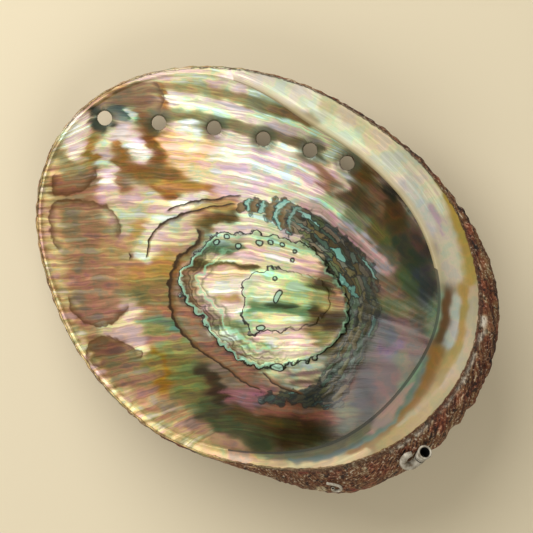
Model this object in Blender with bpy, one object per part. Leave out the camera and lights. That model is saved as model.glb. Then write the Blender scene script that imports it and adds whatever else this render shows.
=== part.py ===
"""Abalone shell lying on its back, open side up, with two worm tubes cemented to its outside.

Lengths are in millimetres until a mesh is made, and the meshes are in metres.
+X runs from the front of the shell to its spire end, +Y to the side of the inner lip, +Z up.
"""

import bmesh
import bpy
import numpy as np
from mathutils import Matrix, Vector

MM = 0.001

# Driving dimensions of the shell
SHELL_HEIGHT = 31.0  # mean height of the rim over the surface it lies on
RIM_TILT = 11.5  # how much higher the spire end of the rim lies than the mean
HIGH_SIDE = np.radians(-8.0)  # the direction in which the rim is highest
FLOOR_THICKNESS = 3.3
LIP_THICKNESS = 1.5
LIP_ROUNDING = 0.5
POLE = np.array([20.0, 0.5])  # the deepest point, over which the shell balances

# Sections through the shell every 18 degrees about the origin, starting at the spire end.
# Each gives the distance out to the widest point of the body, to the outer edge of
# the nacre and to the inner edge of the inner lip. On the thin outer lip the three nearly meet.
SECTIONS = np.array(
    [
        (77.0, 68.5, 56.0),
        (76.2, 68.6, 56.3),
        (71.3, 65.8, 54.0),
        (64.7, 62.6, 51.2),
        (60.7, 59.5, 48.8),
        (59.2, 58.2, 48.2),
        (60.6, 59.9, 50.8),
        (64.2, 63.7, 59.0),
        (69.6, 69.2, 67.6),
        (75.4, 75.0, 73.8),
        (77.2, 76.8, 75.7),
        (73.3, 72.9, 71.8),
        (66.8, 66.4, 65.3),
        (62.6, 62.2, 61.0),
        (60.0, 59.5, 58.0),
        (59.2, 58.6, 56.6),
        (59.2, 58.2, 55.4),
        (63.4, 59.6, 55.2),
        (73.2, 63.2, 56.4),
        (76.2, 66.4, 56.2),
    ]
)
# How the wall falls from the widest point to the floor, at the same sections: the first number
# is larger where the floor is flatter, the second where the wall is steeper.
FALL = np.array(
    [
        (2.2, 1.35),
        (2.3, 1.40),
        (2.4, 1.50),
        (2.6, 1.60),
        (2.7, 1.60),
        (2.7, 1.55),
        (2.6, 1.45),
        (2.4, 1.25),
        (2.2, 1.12),
        (2.1, 1.08),
        (2.1, 1.06),
        (2.1, 1.08),
        (2.1, 1.12),
        (2.2, 1.18),
        (2.2, 1.25),
        (2.2, 1.32),
        (2.2, 1.38),
        (2.1, 1.35),
        (2.1, 1.30),
        (2.1, 1.30),
    ]
)
BAND_DROP = 1.25  # how far the outside falls for each millimetre that it widens below the rim
LIP_SLOPE = 0.28  # the inner lip's fall towards the cavity
LIP_DISH = 0.1  # depth of its hollow, as a share of its width
LIP_NOSE = 1.9  # height of its rounded inner edge
LIP_ROOT = 4.6  # how much deeper it is where it grows from the wall
UNDERCUT = 2.5  # how far the cavity runs back under the inner lip at its side
SIDE_THICKNESS = 4.4  # of the wall behind the cavity at the spire end, where it runs back furthest

# The spire and its whorls
SPIRE = np.array([46.0, -31.0])
SPIRE_RISE = 4.5
SPIRE_WIDTH = 17.0
INNER_SWELL = 0.8  # how much of the spire's rise shows as a hollow inside
SUTURE_RADIUS = 21.0  # where the suture leaves the outer lip
SUTURE_START = np.radians(-128.0)
WHORL_GROWTH = 7.0  # how much the spiral grows in one turn
SUTURE_DEPTH = 2.0
SUTURE_WIDTH = 1.9
SUTURE_TURNS = 2
SUTURE_RUN_OUT = 0.5  # angle over which it starts from nothing

# Open breathing holes, from the newest at the front, and the sealed ones that lead on to the spire
OPEN_HOLES = [(-68.4, 14.4), (-53.4, 22.6), (-37.8, 30.9), (-22.8, 36.6), (-8.2, 41.7), (4.0, 44.6)]
SEALED_HOLES = [
    (15.5, 46.0),
    (26.5, 45.0),
    (37.0, 42.0),
    (47.0, 37.5),
    (55.5, 30.5),
    (61.5, 21.5),
    (64.5, 11.5),
    (65.0, 1.0),
    (62.5, -9.0),
]
HOLE_RADIUS = 2.35
CHIMNEY_HEIGHT = 1.8
CHIMNEY_RADII = (5.6, 3.7)  # at its foot, sunk in the shell, and at its lip
CHIMNEY_ROOT = 1.1
KNOB_RADIUS = 3.7
KNOB_SHRINK = 0.065  # how much smaller each sealed hole is than the newer one before it
KNOB_HEIGHT = 1.4
KNOB_ROOT = 0.6
FUNNEL_DEPTH = 0.7
FUNNEL_WIDTH = 3.6

# Relief of the outside: broad growth waves across the cords, and the cords themselves
GROWTH_WAVES = 8
GROWTH_RELIEF = 0.6
CORD_COUNT = 40
CORD_RELIEF = 0.4
RELIEF_REACH = 55.0  # distance from the spire at which the relief has its full height
EDGE_FADE = 0.06  # share of the shell's growth over which the relief runs out at the edge
REST_RADIUS = 11.0  # of the plain round about the deepest point
HOLE_CLEARING = 6.5  # and about each hole
TURN_AT_EDGE = 0.65  # how far a cord leans from straight out at the shell's edge
TURN_AT_SPIRE = 0.55  # and how much faster it winds towards the spire
ROUNDING_OFF = 1.2  # how fast the outline of a younger shell was rounder than today's
OLDEST = 5.5  # age of the spire's tip, in natural logarithms of its growth
AGE_STEP = 0.025
RAY_COUNT = 721  # directions in which the outline is read
WORN_FLAT = 0.45  # how much of the lowest crests is worn to a flat that the shell rests on

# Worm tubes on the shell's edge, in the plane of the surface there: out from the shell, along its
# edge and up from the surface, with the tube's radius
LARGE_TUBE_AT = (np.radians(-18.0), 0.38)  # section angle, and share of the way down the band
LARGE_TUBE = [
    (-1.7, 1.3, 1.3, 0.8),
    (-2.3, -0.4, 1.4, 1.0),
    (-1.5, -1.9, 1.5, 1.1),
    (0.1, -2.5, 1.6, 1.2),
    (1.7, -1.8, 1.7, 1.3),
    (2.3, -0.2, 1.8, 1.4),
    (1.9, 1.6, 2.0, 1.5),
    (0.8, 3.2, 2.3, 1.7),
    (-0.3, 4.4, 2.7, 1.95),
    (-1.2, 5.0, 3.4, 2.15),
]
LARGE_TUBE_BORE = (1.65, 4)  # radius of the open mouth, and how many steps deep it is
SMALL_TUBE_AT = (np.radians(-37.5), 0.42)
SMALL_TUBE = [
    (-2.3, -2.6, 0.8, 0.40),
    (-1.6, -0.9, 0.8, 0.42),
    (-0.9, 0.6, 0.8, 0.44),
    (0.2, 1.6, 0.8, 0.46),
    (1.5, 1.5, 0.8, 0.48),
    (2.0, 0.3, 0.8, 0.50),
    (1.4, -0.8, 0.8, 0.50),
    (0.3, -0.8, 1.0, 0.50),
]

# Mesh density: columns round the rim, and rings along each stretch of a section
COLUMNS = 96
WALL_RINGS = 16
UNDER_RINGS = 3
NOSE_RINGS = 2
LIP_RINGS = 2
BAND_RINGS = 3
HALVE_AT = (0.45, 0.22)  # columns are halved inside these shares of the way out from the pole
SPIRE_REFINED = 24.0  # radius round the spire within which the mesh is twice as fine
TUBE_SIDES = 8
TUBE_STEPS = 2  # between two of a tube's points


def around(stations, angle):
    """Smooth periodic cubic curve through equally spaced stations, read at these angles."""
    count = len(stations)
    steps = 2 * np.pi * np.arange(count) / count
    spectrum = np.fft.fft(stations) / ((4 + 2 * np.cos(steps)) / 6)
    weights = np.fft.ifft(spectrum).real
    place = np.asarray(angle) / (2 * np.pi) * count
    first = np.floor(place).astype(int)
    f = place - first
    return (
        weights[(first - 1) % count] * (1 - f) ** 3
        + weights[first % count] * (3 * f**3 - 6 * f**2 + 4)
        + weights[(first + 1) % count] * (-3 * f**3 + 3 * f**2 + 3 * f + 1)
        + weights[(first + 2) % count] * f**3
    ) / 6


def smooth_step(x):
    x = np.clip(x, 0, 1)
    return x * x * (3 - 2 * x)


def section(angle):
    """The named distances and heights of the section at each angle."""
    body, rim, edge = (around(SECTIONS[:, k], angle) for k in range(3))
    flat, steep = (around(FALL[:, k], angle) for k in range(2))
    rim_height = SHELL_HEIGHT + RIM_TILT * np.cos(angle - HIGH_SIDE)
    lip = smooth_step((rim - edge - 1.4) / 6)
    spire_side = smooth_step(0.5 + 0.8 * np.cos(angle - np.arctan2(SPIRE[1], SPIRE[0])))
    under = UNDERCUT + (body - SIDE_THICKNESS - edge - UNDERCUT) * spire_side
    edge_height = rim_height - LIP_SLOPE * (rim - edge)
    nose = LIP_ROUNDING + (LIP_NOSE - LIP_ROUNDING) * lip
    return {
        "body": body,
        "rim": rim,
        "edge": edge,
        "flat": flat,
        "steep": steep,
        "rim_height": rim_height,
        "body_height": rim_height - LIP_THICKNESS - BAND_DROP * (body - rim),
        "edge_height": edge_height,
        "nose": nose,
        "inner": edge + lip * under - LIP_ROUNDING * (1 - lip),
        "inner_height": edge_height - nose - LIP_ROUNDING - LIP_ROOT * spire_side * lip,
    }


def spread(angle, reach, share):
    """Plan places a share of the way from the pole out to this reach."""
    out = np.stack([np.cos(angle), np.sin(angle)], -1) * np.asarray(reach)[..., None]
    share = np.asarray(share)[..., None]
    return POLE * (1 - share) + out * share


def wall(angle, share, reach, top, floor, flat, steep):
    """A wall that falls from its top, at this reach, to the floor at the pole."""
    plan = spread(angle, reach, share)
    depth = (1 - share**flat) ** (1 / steep)
    return plan, floor + (top - floor) * (1 - depth)


def stream(plan):
    """Where a place lies in the shell's growth: its cord, as an angle, and its age, 0 at the edge.

    A cord runs from the edge to the spire along a spiral. A place's age is where the edge, drawn
    together on the spire by exp(-age) and turned with the cords, passes through it.
    """
    away = plan - SPIRE
    radius = np.log(np.maximum(np.hypot(away[..., 0], away[..., 1]), 0.05))
    turn = np.arctan2(away[..., 1], away[..., 0])
    angles = np.linspace(0, 2 * np.pi, RAY_COUNT)
    edge = spread(angles, section(angles)["body"], 1.0) - SPIRE
    edge_turn = np.unwrap(np.arctan2(edge[:, 1], edge[:, 0]))
    edge_radius = np.log(np.hypot(edge[:, 0], edge[:, 1]))
    age = np.zeros(radius.shape)
    found = np.zeros(radius.shape, bool)
    last_gap = np.zeros(radius.shape)
    for now in np.arange(0, OLDEST, AGE_STEP):
        swing = turn + TURN_AT_EDGE * now + TURN_AT_SPIRE * now**2
        likeness = np.exp(-ROUNDING_OFF * now)
        reach = np.interp(swing, edge_turn, edge_radius, period=2 * np.pi)
        gap = likeness * reach + (1 - likeness) * edge_radius.mean() - now - radius
        crossed = ~found & (gap <= 0)
        back = AGE_STEP * gap / np.minimum(gap - last_gap, -1e-9)
        age = np.where(crossed, np.maximum(now - back, 0), age)
        found |= crossed
        last_gap = gap
    age = np.where(found, age, OLDEST)
    return turn + TURN_AT_EDGE * age + TURN_AT_SPIRE * age**2, age


def suture(plan):
    """Depth of the spiral seam between the whorls of the spire."""
    away = plan - SPIRE
    radius = np.maximum(np.hypot(away[..., 0], away[..., 1]), 0.1)
    behind = (np.arctan2(away[..., 1], away[..., 0]) - SUTURE_START) % (2 * np.pi) - 2 * np.pi
    depth = np.zeros(radius.shape)
    for lap in range(SUTURE_TURNS):
        turned = behind - 2 * np.pi * lap
        seam = SUTURE_RADIUS * np.exp(np.log(WHORL_GROWTH) / (2 * np.pi) * turned)
        size = np.sqrt(seam / SUTURE_RADIUS)
        groove = np.exp(-(((radius - seam) / (SUTURE_WIDTH * size)) ** 2))
        depth += smooth_step(-turned / SUTURE_RUN_OUT) * size * groove
    return SUTURE_DEPTH * depth


def outside_relief(plan):
    """How far the outside stands proud of its plain wall, in growth waves, cords and seam."""
    cord, age = stream(plan)
    reach = np.hypot(*np.moveaxis(plan - SPIRE, -1, 0)) / RELIEF_REACH
    waves = GROWTH_RELIEF * np.cos(2 * np.pi * GROWTH_WAVES * (1 - np.exp(-age)))
    cords = CORD_RELIEF * np.cos(CORD_COUNT * cord) * smooth_step(2 * reach - 0.8)
    fade = smooth_step(age / EDGE_FADE) * smooth_step(reach)
    clearings = [(hole, HOLE_CLEARING) for hole in OPEN_HOLES + SEALED_HOLES]
    for place, radius in [(POLE, REST_RADIUS)] + clearings:
        fade = fade * (1 - np.exp(-((plan - np.array(place)) ** 2).sum(-1) / radius**2))
    return fade * (waves + cords) - suture(plan)


def swell(plan):
    """How far both walls bulge down at the spire."""
    away = plan - SPIRE
    return SPIRE_RISE * np.exp(-(away**2).sum(-1) / SPIRE_WIDTH**2)


def inner_wall(angle, share):
    """Places on the nacre, from the pole at share 0 to the top of the cavity wall at share 1."""
    s = section(angle)
    plan, height = wall(
        angle, share, s["inner"], s["inner_height"], FLOOR_THICKNESS, s["flat"], s["steep"]
    )
    funnels = sum(
        np.exp(-((plan - np.array(hole)) ** 2).sum(-1) / FUNNEL_WIDTH**2) for hole in OPEN_HOLES
    )
    height = height - INNER_SWELL * swell(plan) - FUNNEL_DEPTH * funnels
    return np.concatenate([plan, height[..., None]], -1)


def outer_wall(angle, share):
    """Places on the outside, from the pole at share 0 to the widest point at share 1."""
    s = section(angle)
    plan, height = wall(angle, share, s["body"], s["body_height"], 0.0, s["flat"], s["steep"])
    return np.concatenate([plan, (height - swell(plan))[..., None]], -1)


def lip_under(angle, share):
    """The underside of the inner lip, from the top of the cavity wall out to its nose."""
    s = section(angle)
    swing = share * np.pi / 2
    reach = s["edge"] + (s["inner"] - s["edge"]) * np.cos(swing)
    top = s["edge_height"] - s["nose"]
    height = s["inner_height"] + (top - s["inner_height"]) * np.sin(swing)
    return np.concatenate([spread(angle, reach, 1.0), height[..., None]], -1)


def lip_nose(angle, share):
    """The rounded inner edge of the inner lip, from its underside at share 0 to its top at 1."""
    s = section(angle)
    reach = s["edge"] - s["nose"] / 3 * np.sin(np.pi * share)
    height = s["edge_height"] - s["nose"] * (1 - share)
    return np.concatenate([spread(angle, reach, 1.0), height[..., None]], -1)


def lip(angle, share):
    """The broad inner lip, or the thin outer one, from its inner edge at 0 to the rim at 1."""
    s = section(angle)
    reach = s["edge"] + (s["rim"] - s["edge"]) * share
    width = s["rim"] - s["edge"]
    dish = -LIP_DISH * width * np.sin(np.pi * share)
    height = s["edge_height"] + (s["rim_height"] - s["edge_height"]) * share + dish
    return np.concatenate([spread(angle, reach, 1.0), height[..., None]], -1)


def band(angle, share):
    """The outside between the rim at share 0 and the widest point at share 1."""
    s = section(angle)
    swing = share * np.pi / 2
    reach = s["rim"] + (s["body"] - s["rim"]) * np.sin(swing)
    height = s["body_height"] + (s["rim_height"] - s["body_height"]) * np.cos(swing)
    return np.concatenate([spread(angle, reach, 1.0), height[..., None]], -1)


def shell_rings():
    """The rings of a section in order, from the pole of the nacre to the pole of the outside."""
    shares = np.linspace(0, 1, WALL_RINGS + 1)[1:]
    rings = []
    for share in shares:
        halved = sum(share < limit for limit in HALVE_AT)
        rings.append((inner_wall, share, COLUMNS >> halved))
    for place, count in ((lip_under, UNDER_RINGS), (lip_nose, NOSE_RINGS), (lip, LIP_RINGS)):
        rings += [(place, share, COLUMNS) for share in np.linspace(0, 1, count + 1)[1:]]
    rings += [(band, share, COLUMNS) for share in np.linspace(0, 1, BAND_RINGS + 1)[1:-1]]
    for share in shares[::-1]:
        halved = sum(share < limit for limit in HALVE_AT)
        rings.append((outer_wall, share, COLUMNS >> halved))
    return rings


def link_rings(near, far):
    """Faces between two rings of vertex numbers, the second of which has as many or half or twice."""
    faces = []
    if len(near) == len(far):
        for i in range(len(near)):
            j = (i + 1) % len(near)
            faces.append((near[i], far[i], far[j], near[j]))
        return faces
    turned = len(near) > len(far)
    many, few = (near, far) if turned else (far, near)
    for i in range(len(few)):
        j = (i + 1) % len(few)
        a, b, c = many[2 * i], many[2 * i + 1], many[(2 * i + 2) % len(many)]
        fan = [(few[i], a, b), (few[i], b, few[j]), (few[j], b, c)]
        faces += [tuple(reversed(f)) for f in fan] if turned else fan
    return faces


def shell_mesh():
    """The whole shell as one closed skin."""
    pole = np.zeros(1)
    points = [inner_wall(pole, pole)]
    total, loops = 1, []
    for place, share, columns in shell_rings():
        angle = np.arange(columns) / columns * 2 * np.pi
        points.append(place(angle, np.full(columns, share)))
        loops.append(list(range(total, total + columns)))
        total += columns
    points.append(outer_wall(pole, pole))
    faces = [(0, a, b) for a, b in zip(loops[0], loops[0][1:] + loops[0][:1])]
    for near, far in zip(loops, loops[1:]):
        faces += link_rings(near, far)
    faces += [(total, b, a) for a, b in zip(loops[-1], loops[-1][1:] + loops[-1][:1])]
    return np.concatenate(points), faces


def new_object(name, bm, material=None):
    mesh = bpy.data.meshes.new(name)
    bm.to_mesh(mesh)
    bm.free()
    mesh.shade_smooth()
    made = bpy.data.objects.new(name, mesh)
    bpy.context.scene.collection.objects.link(made)
    if material:
        made.data.materials.append(material)
    return made


def finish(name, colour, roughness, metallic=0.0):
    material = bpy.data.materials.new(name)
    material.use_nodes = True
    shader = material.node_tree.nodes["Principled BSDF"]
    shader.inputs["Base Color"].default_value = (*colour, 1)
    shader.inputs["Roughness"].default_value = roughness
    shader.inputs["Metallic"].default_value = metallic
    return material


def ray_of(plan):
    """The section angle of a place on the outside, and its share of the way out from the pole."""
    angles = np.linspace(0, 2 * np.pi, RAY_COUNT)
    edge = spread(angles, section(angles)["body"], 1.0) - POLE
    turns = np.unwrap(np.arctan2(edge[:, 1], edge[:, 0]))
    away = plan - POLE
    turn = np.arctan2(away[..., 1], away[..., 0])
    angle = turn + np.interp(turn, turns, angles - turns, period=2 * np.pi)
    reach = spread(angle, section(angle)["body"], 1.0) - POLE
    return angle, np.hypot(away[..., 0], away[..., 1]) / np.hypot(reach[..., 0], reach[..., 1])


def stand_on(place, angle, share):
    """A point of the surface, with its tangent out from the shell, its one along and its normal."""
    step = 0.01
    here, along, across = place(
        np.array([angle, angle + step, angle]), np.array([share, share, share + step])
    )
    along = (along - here) / np.linalg.norm(along - here)
    normal = np.cross(along, across - here)
    normal *= np.sign(normal @ (here - [*POLE, SHELL_HEIGHT])) / np.linalg.norm(normal)
    return here, np.cross(along, normal), along, normal


def shell_skin():
    """The shell's closed skin, its outside raised and seamed, and worn flat where it rests."""
    points, faces = shell_mesh()
    outside = len(points) - 1 - sum(n for place, _, n in shell_rings() if place is outer_wall)
    bm = bmesh.new()
    skin_side = bm.verts.layers.float.new("outside")
    for order, point in enumerate(points):
        bm.verts.new(point)[skin_side] = order >= outside
    bm.verts.ensure_lookup_table()
    for face in faces:
        bm.faces.new([bm.verts[i] for i in face])
    spire = Vector(SPIRE)
    near = [
        edge
        for edge in bm.edges
        if all(v[skin_side] > 0.5 and (v.co.xy - spire).length < SPIRE_REFINED for v in edge.verts)
    ]
    bmesh.ops.subdivide_edges(bm, edges=near, cuts=1, use_grid_fill=True)
    bm.normal_update()
    raised = [v for v in bm.verts if v[skin_side] > 0.5]
    rise = outside_relief(np.array([v.co.xy for v in raised]))
    moved = [v.co + v.normal * r for v, r in zip(raised, rise)]
    for vertex, place in zip(raised, moved):
        vertex.co = place
    lowest = min(v.co.z for v in bm.verts) + WORN_FLAT
    for vertex in bm.verts:
        vertex.co.z = max(vertex.co.z - lowest, 0)
    bmesh.ops.scale(bm, vec=Vector((MM, MM, MM)), verts=bm.verts)
    return bm, lowest


def guide(name, bm, target, operation):
    """Joins or cuts the target with a shape that isn't a piece of its own."""
    shape = new_object(name, bm)
    shape.hide_render = True
    shape.display_type = "WIRE"
    boolean = target.modifiers.new(name, "BOOLEAN")
    boolean.operation = operation
    boolean.solver = "EXACT"
    boolean.object = shape


def outside_frame(hole, lowest):
    """Turns +Z to the outside's normal at a hole, and moves the origin there."""
    angle, share = ray_of(np.array(hole))
    here, out, along, normal = stand_on(outer_wall, float(angle), float(share))
    turn = Matrix([out, along, normal]).transposed().to_4x4()
    return Matrix.Translation(Vector(here - [0, 0, lowest]) * MM) @ turn


def raise_chimneys(shell, lowest):
    """A low cone stands round each open hole, and a knob on each sealed one."""
    bm = bmesh.new()
    foot, lip_radius = CHIMNEY_RADII
    for hole in OPEN_HOLES:
        at = outside_frame(hole, lowest)
        sunk = Matrix.Translation((0, 0, (CHIMNEY_HEIGHT - CHIMNEY_ROOT) / 2 * MM))
        bmesh.ops.create_cone(
            bm,
            cap_ends=True,
            segments=12,
            radius1=foot * MM,
            radius2=lip_radius * MM,
            depth=(CHIMNEY_HEIGHT + CHIMNEY_ROOT) * MM,
            matrix=at @ sunk,
        )
    for order, hole in enumerate(SEALED_HOLES):
        size = 1 - KNOB_SHRINK * order
        sunk = Matrix.Translation((0, 0, -KNOB_ROOT * size * MM))
        squashed = Matrix.Diagonal((1, 1, (KNOB_HEIGHT + KNOB_ROOT) / KNOB_RADIUS, 1))
        bmesh.ops.create_icosphere(
            bm,
            subdivisions=2,
            radius=KNOB_RADIUS * size * MM,
            matrix=outside_frame(hole, lowest) @ sunk @ squashed,
        )
    guide("chimney_guide", bm, shell, "UNION")


def open_holes(shell):
    """The six open holes run straight down through the wall."""
    bm = bmesh.new()
    for x, y in OPEN_HOLES:
        bmesh.ops.create_cone(
            bm,
            cap_ends=True,
            segments=12,
            radius1=HOLE_RADIUS * MM,
            radius2=HOLE_RADIUS * MM,
            depth=SHELL_HEIGHT * MM,
            matrix=Matrix.Translation((x * MM, y * MM, SHELL_HEIGHT / 2 * MM)),
        )
    guide("hole_guide", bm, shell, "DIFFERENCE")


def ring(centre, direction, side, radius):
    up = np.cross(direction, side)
    up /= np.linalg.norm(up)
    side = np.cross(up, direction)
    turns = np.arange(TUBE_SIDES) / TUBE_SIDES * 2 * np.pi
    return centre + radius * (np.cos(turns)[:, None] * side + np.sin(turns)[:, None] * up)


def worm_tube(name, stations, foot, lowest, material, bore=None):
    """A tube swept along a smooth line through its stations, open at its last end if it has a bore."""
    here, out, along, normal = stand_on(band, *foot)
    knots = np.array(stations)
    ends = np.concatenate([[2 * knots[0] - knots[1]], knots, [2 * knots[-1] - knots[-2]]])
    line = []
    for i in range(len(knots) - 1):
        a, b, c, d = ends[i : i + 4]
        for t in np.arange(TUBE_STEPS) / TUBE_STEPS:
            bend = (2 * a - 5 * b + 4 * c - d) * t**2 + (3 * b - a - 3 * c + d) * t**3
            line.append(b + ((c - a) * t + bend) / 2)
    line = np.array(line + [knots[-1]])
    centres = here + line[:, :3] @ np.array([out, along, normal]) - [0, 0, lowest]
    radii = line[:, 3]
    directions = np.gradient(centres, axis=0)
    directions /= np.linalg.norm(directions, axis=1)[:, None]
    rings = [ring(c, d, normal, r) for c, d, r in zip(centres, directions, radii)]
    if bore:
        radius, depth = bore
        for i in range(1, depth + 1):
            rings.append(ring(centres[-i], directions[-i], normal, radius))
    bm = bmesh.new()
    loops = [[bm.verts.new(p) for p in points] for points in rings]
    for near, far in zip(loops, loops[1:]):
        for i in range(TUBE_SIDES):
            j = (i + 1) % TUBE_SIDES
            bm.faces.new((near[i], near[j], far[j], far[i]))
    bm.faces.new(loops[0][::-1])
    bm.faces.new(loops[-1])
    bmesh.ops.recalc_face_normals(bm, faces=bm.faces)
    bmesh.ops.scale(bm, vec=Vector((MM, MM, MM)), verts=bm.verts)
    return new_object(name, bm, material)


def main():
    for old in list(bpy.data.objects):
        bpy.data.objects.remove(old)
    nacre = finish("nacre", (0.62, 0.55, 0.38), 0.25, 0.3)
    chalk = finish("worm_chalk", (0.66, 0.62, 0.52), 0.6)
    skin, lowest = shell_skin()
    shell = new_object("shell", skin, nacre)
    raise_chimneys(shell, lowest)
    open_holes(shell)
    worm_tube("worm_tube_large", LARGE_TUBE, LARGE_TUBE_AT, lowest, chalk, LARGE_TUBE_BORE)
    worm_tube("worm_tube_small", SMALL_TUBE, SMALL_TUBE_AT, lowest, chalk)


main()
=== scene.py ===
"""Looks of an abalone shell that lies on its back, with two worm tubes cemented to its edge.

Lengths are in millimetres in the row's frame until a mesh is made, and the meshes are in metres.
"""

import bmesh
import bpy
import numpy as np
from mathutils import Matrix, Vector, noise


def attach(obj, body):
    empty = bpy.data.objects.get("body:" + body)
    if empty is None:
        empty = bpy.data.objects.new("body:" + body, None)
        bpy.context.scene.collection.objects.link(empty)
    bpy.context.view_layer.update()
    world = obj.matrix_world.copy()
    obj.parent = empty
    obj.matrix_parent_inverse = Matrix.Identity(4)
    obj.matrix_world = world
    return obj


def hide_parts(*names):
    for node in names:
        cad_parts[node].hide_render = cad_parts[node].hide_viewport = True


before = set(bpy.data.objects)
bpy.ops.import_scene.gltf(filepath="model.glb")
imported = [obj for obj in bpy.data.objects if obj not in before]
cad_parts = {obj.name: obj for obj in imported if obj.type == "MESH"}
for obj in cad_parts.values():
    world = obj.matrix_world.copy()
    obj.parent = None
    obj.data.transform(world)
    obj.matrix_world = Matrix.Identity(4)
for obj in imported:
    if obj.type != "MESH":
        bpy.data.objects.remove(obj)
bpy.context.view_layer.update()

# The camera hangs straight over the shell with its top edge turned as in the photograph. Marks on
# the shell are placed by that picture's pixels, read at the height of the shell's rim.
MM = 0.001
PICTURE = 533
MM_PER_PIXEL = 0.31
TURN = np.radians(33.0)
KNOWN_PIXEL = np.array([265.0, 280.0])
KNOWN_PLACE = np.array([2.2, -0.9])
RIM_LEVEL = 31.0
CAMERA_ABOVE_RIM = 700.0
SENSOR = 36.0


def place_of(pixels):
    """Where on the level of the rim a pixel of the photograph, or each of several, looks."""
    step = (np.array(pixels, float) - KNOWN_PIXEL) * MM_PER_PIXEL * [1, -1]
    across, up = step[..., 0], step[..., 1]
    x = np.cos(TURN) * across - np.sin(TURN) * up
    y = np.sin(TURN) * across + np.cos(TURN) * up
    return np.stack([x, y], -1) + KNOWN_PLACE


def put(name, data):
    """A new object in the scene."""
    made = bpy.data.objects.new(name, data)
    bpy.context.scene.collection.objects.link(made)
    return made


view_centre = place_of([PICTURE / 2, PICTURE / 2])
camera = put("camera", bpy.data.cameras.new("camera"))
camera.location = (*view_centre * MM, (RIM_LEVEL + CAMERA_ABOVE_RIM) * MM)
camera.rotation_euler = (0, 0, TURN)
camera.data.sensor_width = SENSOR
camera.data.lens = SENSOR * CAMERA_ABOVE_RIM / (PICTURE * MM_PER_PIXEL)
bpy.context.scene.camera = camera
bpy.context.scene.view_settings.view_transform = "Standard"

# The form of the shell is that of its CAD solid: a bowl drawn by sections through it every 18
# degrees, whose outside falls from its widest point and whose inside is lined with nacre.
SECTIONS = np.array([  # how far the widest body, the rim and the inner edge are from the pole
    (77.0, 68.5, 56.0), (76.2, 68.6, 56.3), (71.3, 65.8, 54.0), (64.7, 62.6, 51.2), (60.7, 59.5, 48.8),
    (59.2, 58.2, 48.2), (60.6, 59.9, 50.8), (64.2, 63.7, 59.0), (69.6, 69.2, 67.6), (75.4, 75.0, 73.8),
    (77.2, 76.8, 75.7), (73.3, 72.9, 71.8), (66.8, 66.4, 65.3), (62.6, 62.2, 61.0), (60.0, 59.5, 58.0),
    (59.2, 58.6, 56.6), (59.2, 58.2, 55.4), (63.4, 59.6, 55.2), (73.2, 63.2, 56.4), (76.2, 66.4, 56.2),
])  # fmt: skip
FALL = np.array([  # how flat the wall is by the pole, and how steep at its side
    (2.2, 1.35), (2.3, 1.40), (2.4, 1.50), (2.6, 1.60), (2.7, 1.60), (2.7, 1.55), (2.6, 1.45), (2.4, 1.25),
    (2.2, 1.12), (2.1, 1.08), (2.1, 1.06), (2.1, 1.08), (2.1, 1.12), (2.2, 1.18), (2.2, 1.25), (2.2, 1.32),
    (2.2, 1.38), (2.1, 1.35), (2.1, 1.30), (2.1, 1.30),
])  # fmt: skip
RIM_TILT = 11.5
HIGH_SIDE = np.radians(-8.0)
FLOOR_THICKNESS = 3.3
LIP_THICKNESS = 1.5
NARROW_LIP = 1.4
BROADENING = 6
LIP_ROUNDING = 0.5
BAND_DROP = 1.25
LIP_SLOPE = 0.28
LIP_DISH = 0.1
LIP_NOSE = 1.9
LIP_ROOT = 4.6
UNDERCUT = 2.5
SIDE_THICKNESS = 4.4
POLE = np.array([20.0, 0.5])
SPIRE = np.array([46.0, -31.0])
SPIRE_RISE = 4.5
SPIRE_WIDTH = 17.0
INNER_SWELL = 0.8
LOWERED = 0.28  # what the CAD solid is let down by, so that its lowest crests are worn flat
RAY_COUNT = 721
TURN_AT_EDGE = 0.65
TURN_AT_SPIRE = 0.55
ROUNDING_OFF = 1.2
OLDEST = 5.5
AGE_STEP = 0.025


def around(stations, angle):
    """Smooth periodic cubic curve through equally spaced stations, read at these angles."""
    count = len(stations)
    steps = 2 * np.pi * np.arange(count) / count
    spectrum = np.fft.fft(stations) / ((4 + 2 * np.cos(steps)) / 6)
    weights = np.fft.ifft(spectrum).real
    place = np.asarray(angle) / (2 * np.pi) * count
    first = np.floor(place).astype(int)
    f = place - first
    return (
        weights[(first - 1) % count] * (1 - f) ** 3
        + weights[first % count] * (3 * f**3 - 6 * f**2 + 4)
        + weights[(first + 1) % count] * (-3 * f**3 + 3 * f**2 + 3 * f + 1)
        + weights[(first + 2) % count] * f**3
    ) / 6


def smooth_step(x):
    x = np.clip(x, 0, 1)
    return x * x * (3 - 2 * x)


def section(angle):
    """The named distances and heights of the section at each angle."""
    body, rim, edge = (around(SECTIONS[:, k], angle) for k in range(3))
    flat, steep = (around(FALL[:, k], angle) for k in range(2))
    rim_height = RIM_LEVEL + RIM_TILT * np.cos(angle - HIGH_SIDE)
    lip = smooth_step((rim - edge - NARROW_LIP) / BROADENING)
    spire_side = smooth_step(0.5 + 0.8 * np.cos(angle - np.arctan2(SPIRE[1], SPIRE[0])))
    under = UNDERCUT + (body - SIDE_THICKNESS - edge - UNDERCUT) * spire_side
    edge_height = rim_height - LIP_SLOPE * (rim - edge)
    nose = LIP_ROUNDING + (LIP_NOSE - LIP_ROUNDING) * lip
    return {
        "body": body,
        "rim": rim,
        "edge": edge,
        "flat": flat,
        "steep": steep,
        "lip": lip,
        "rim_height": rim_height,
        "body_height": rim_height - LIP_THICKNESS - BAND_DROP * (body - rim),
        "edge_height": edge_height,
        "nose": nose,
        "inner": edge + lip * under - LIP_ROUNDING * (1 - lip),
        "inner_height": edge_height - nose - LIP_ROUNDING - LIP_ROOT * spire_side * lip,
    }


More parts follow.
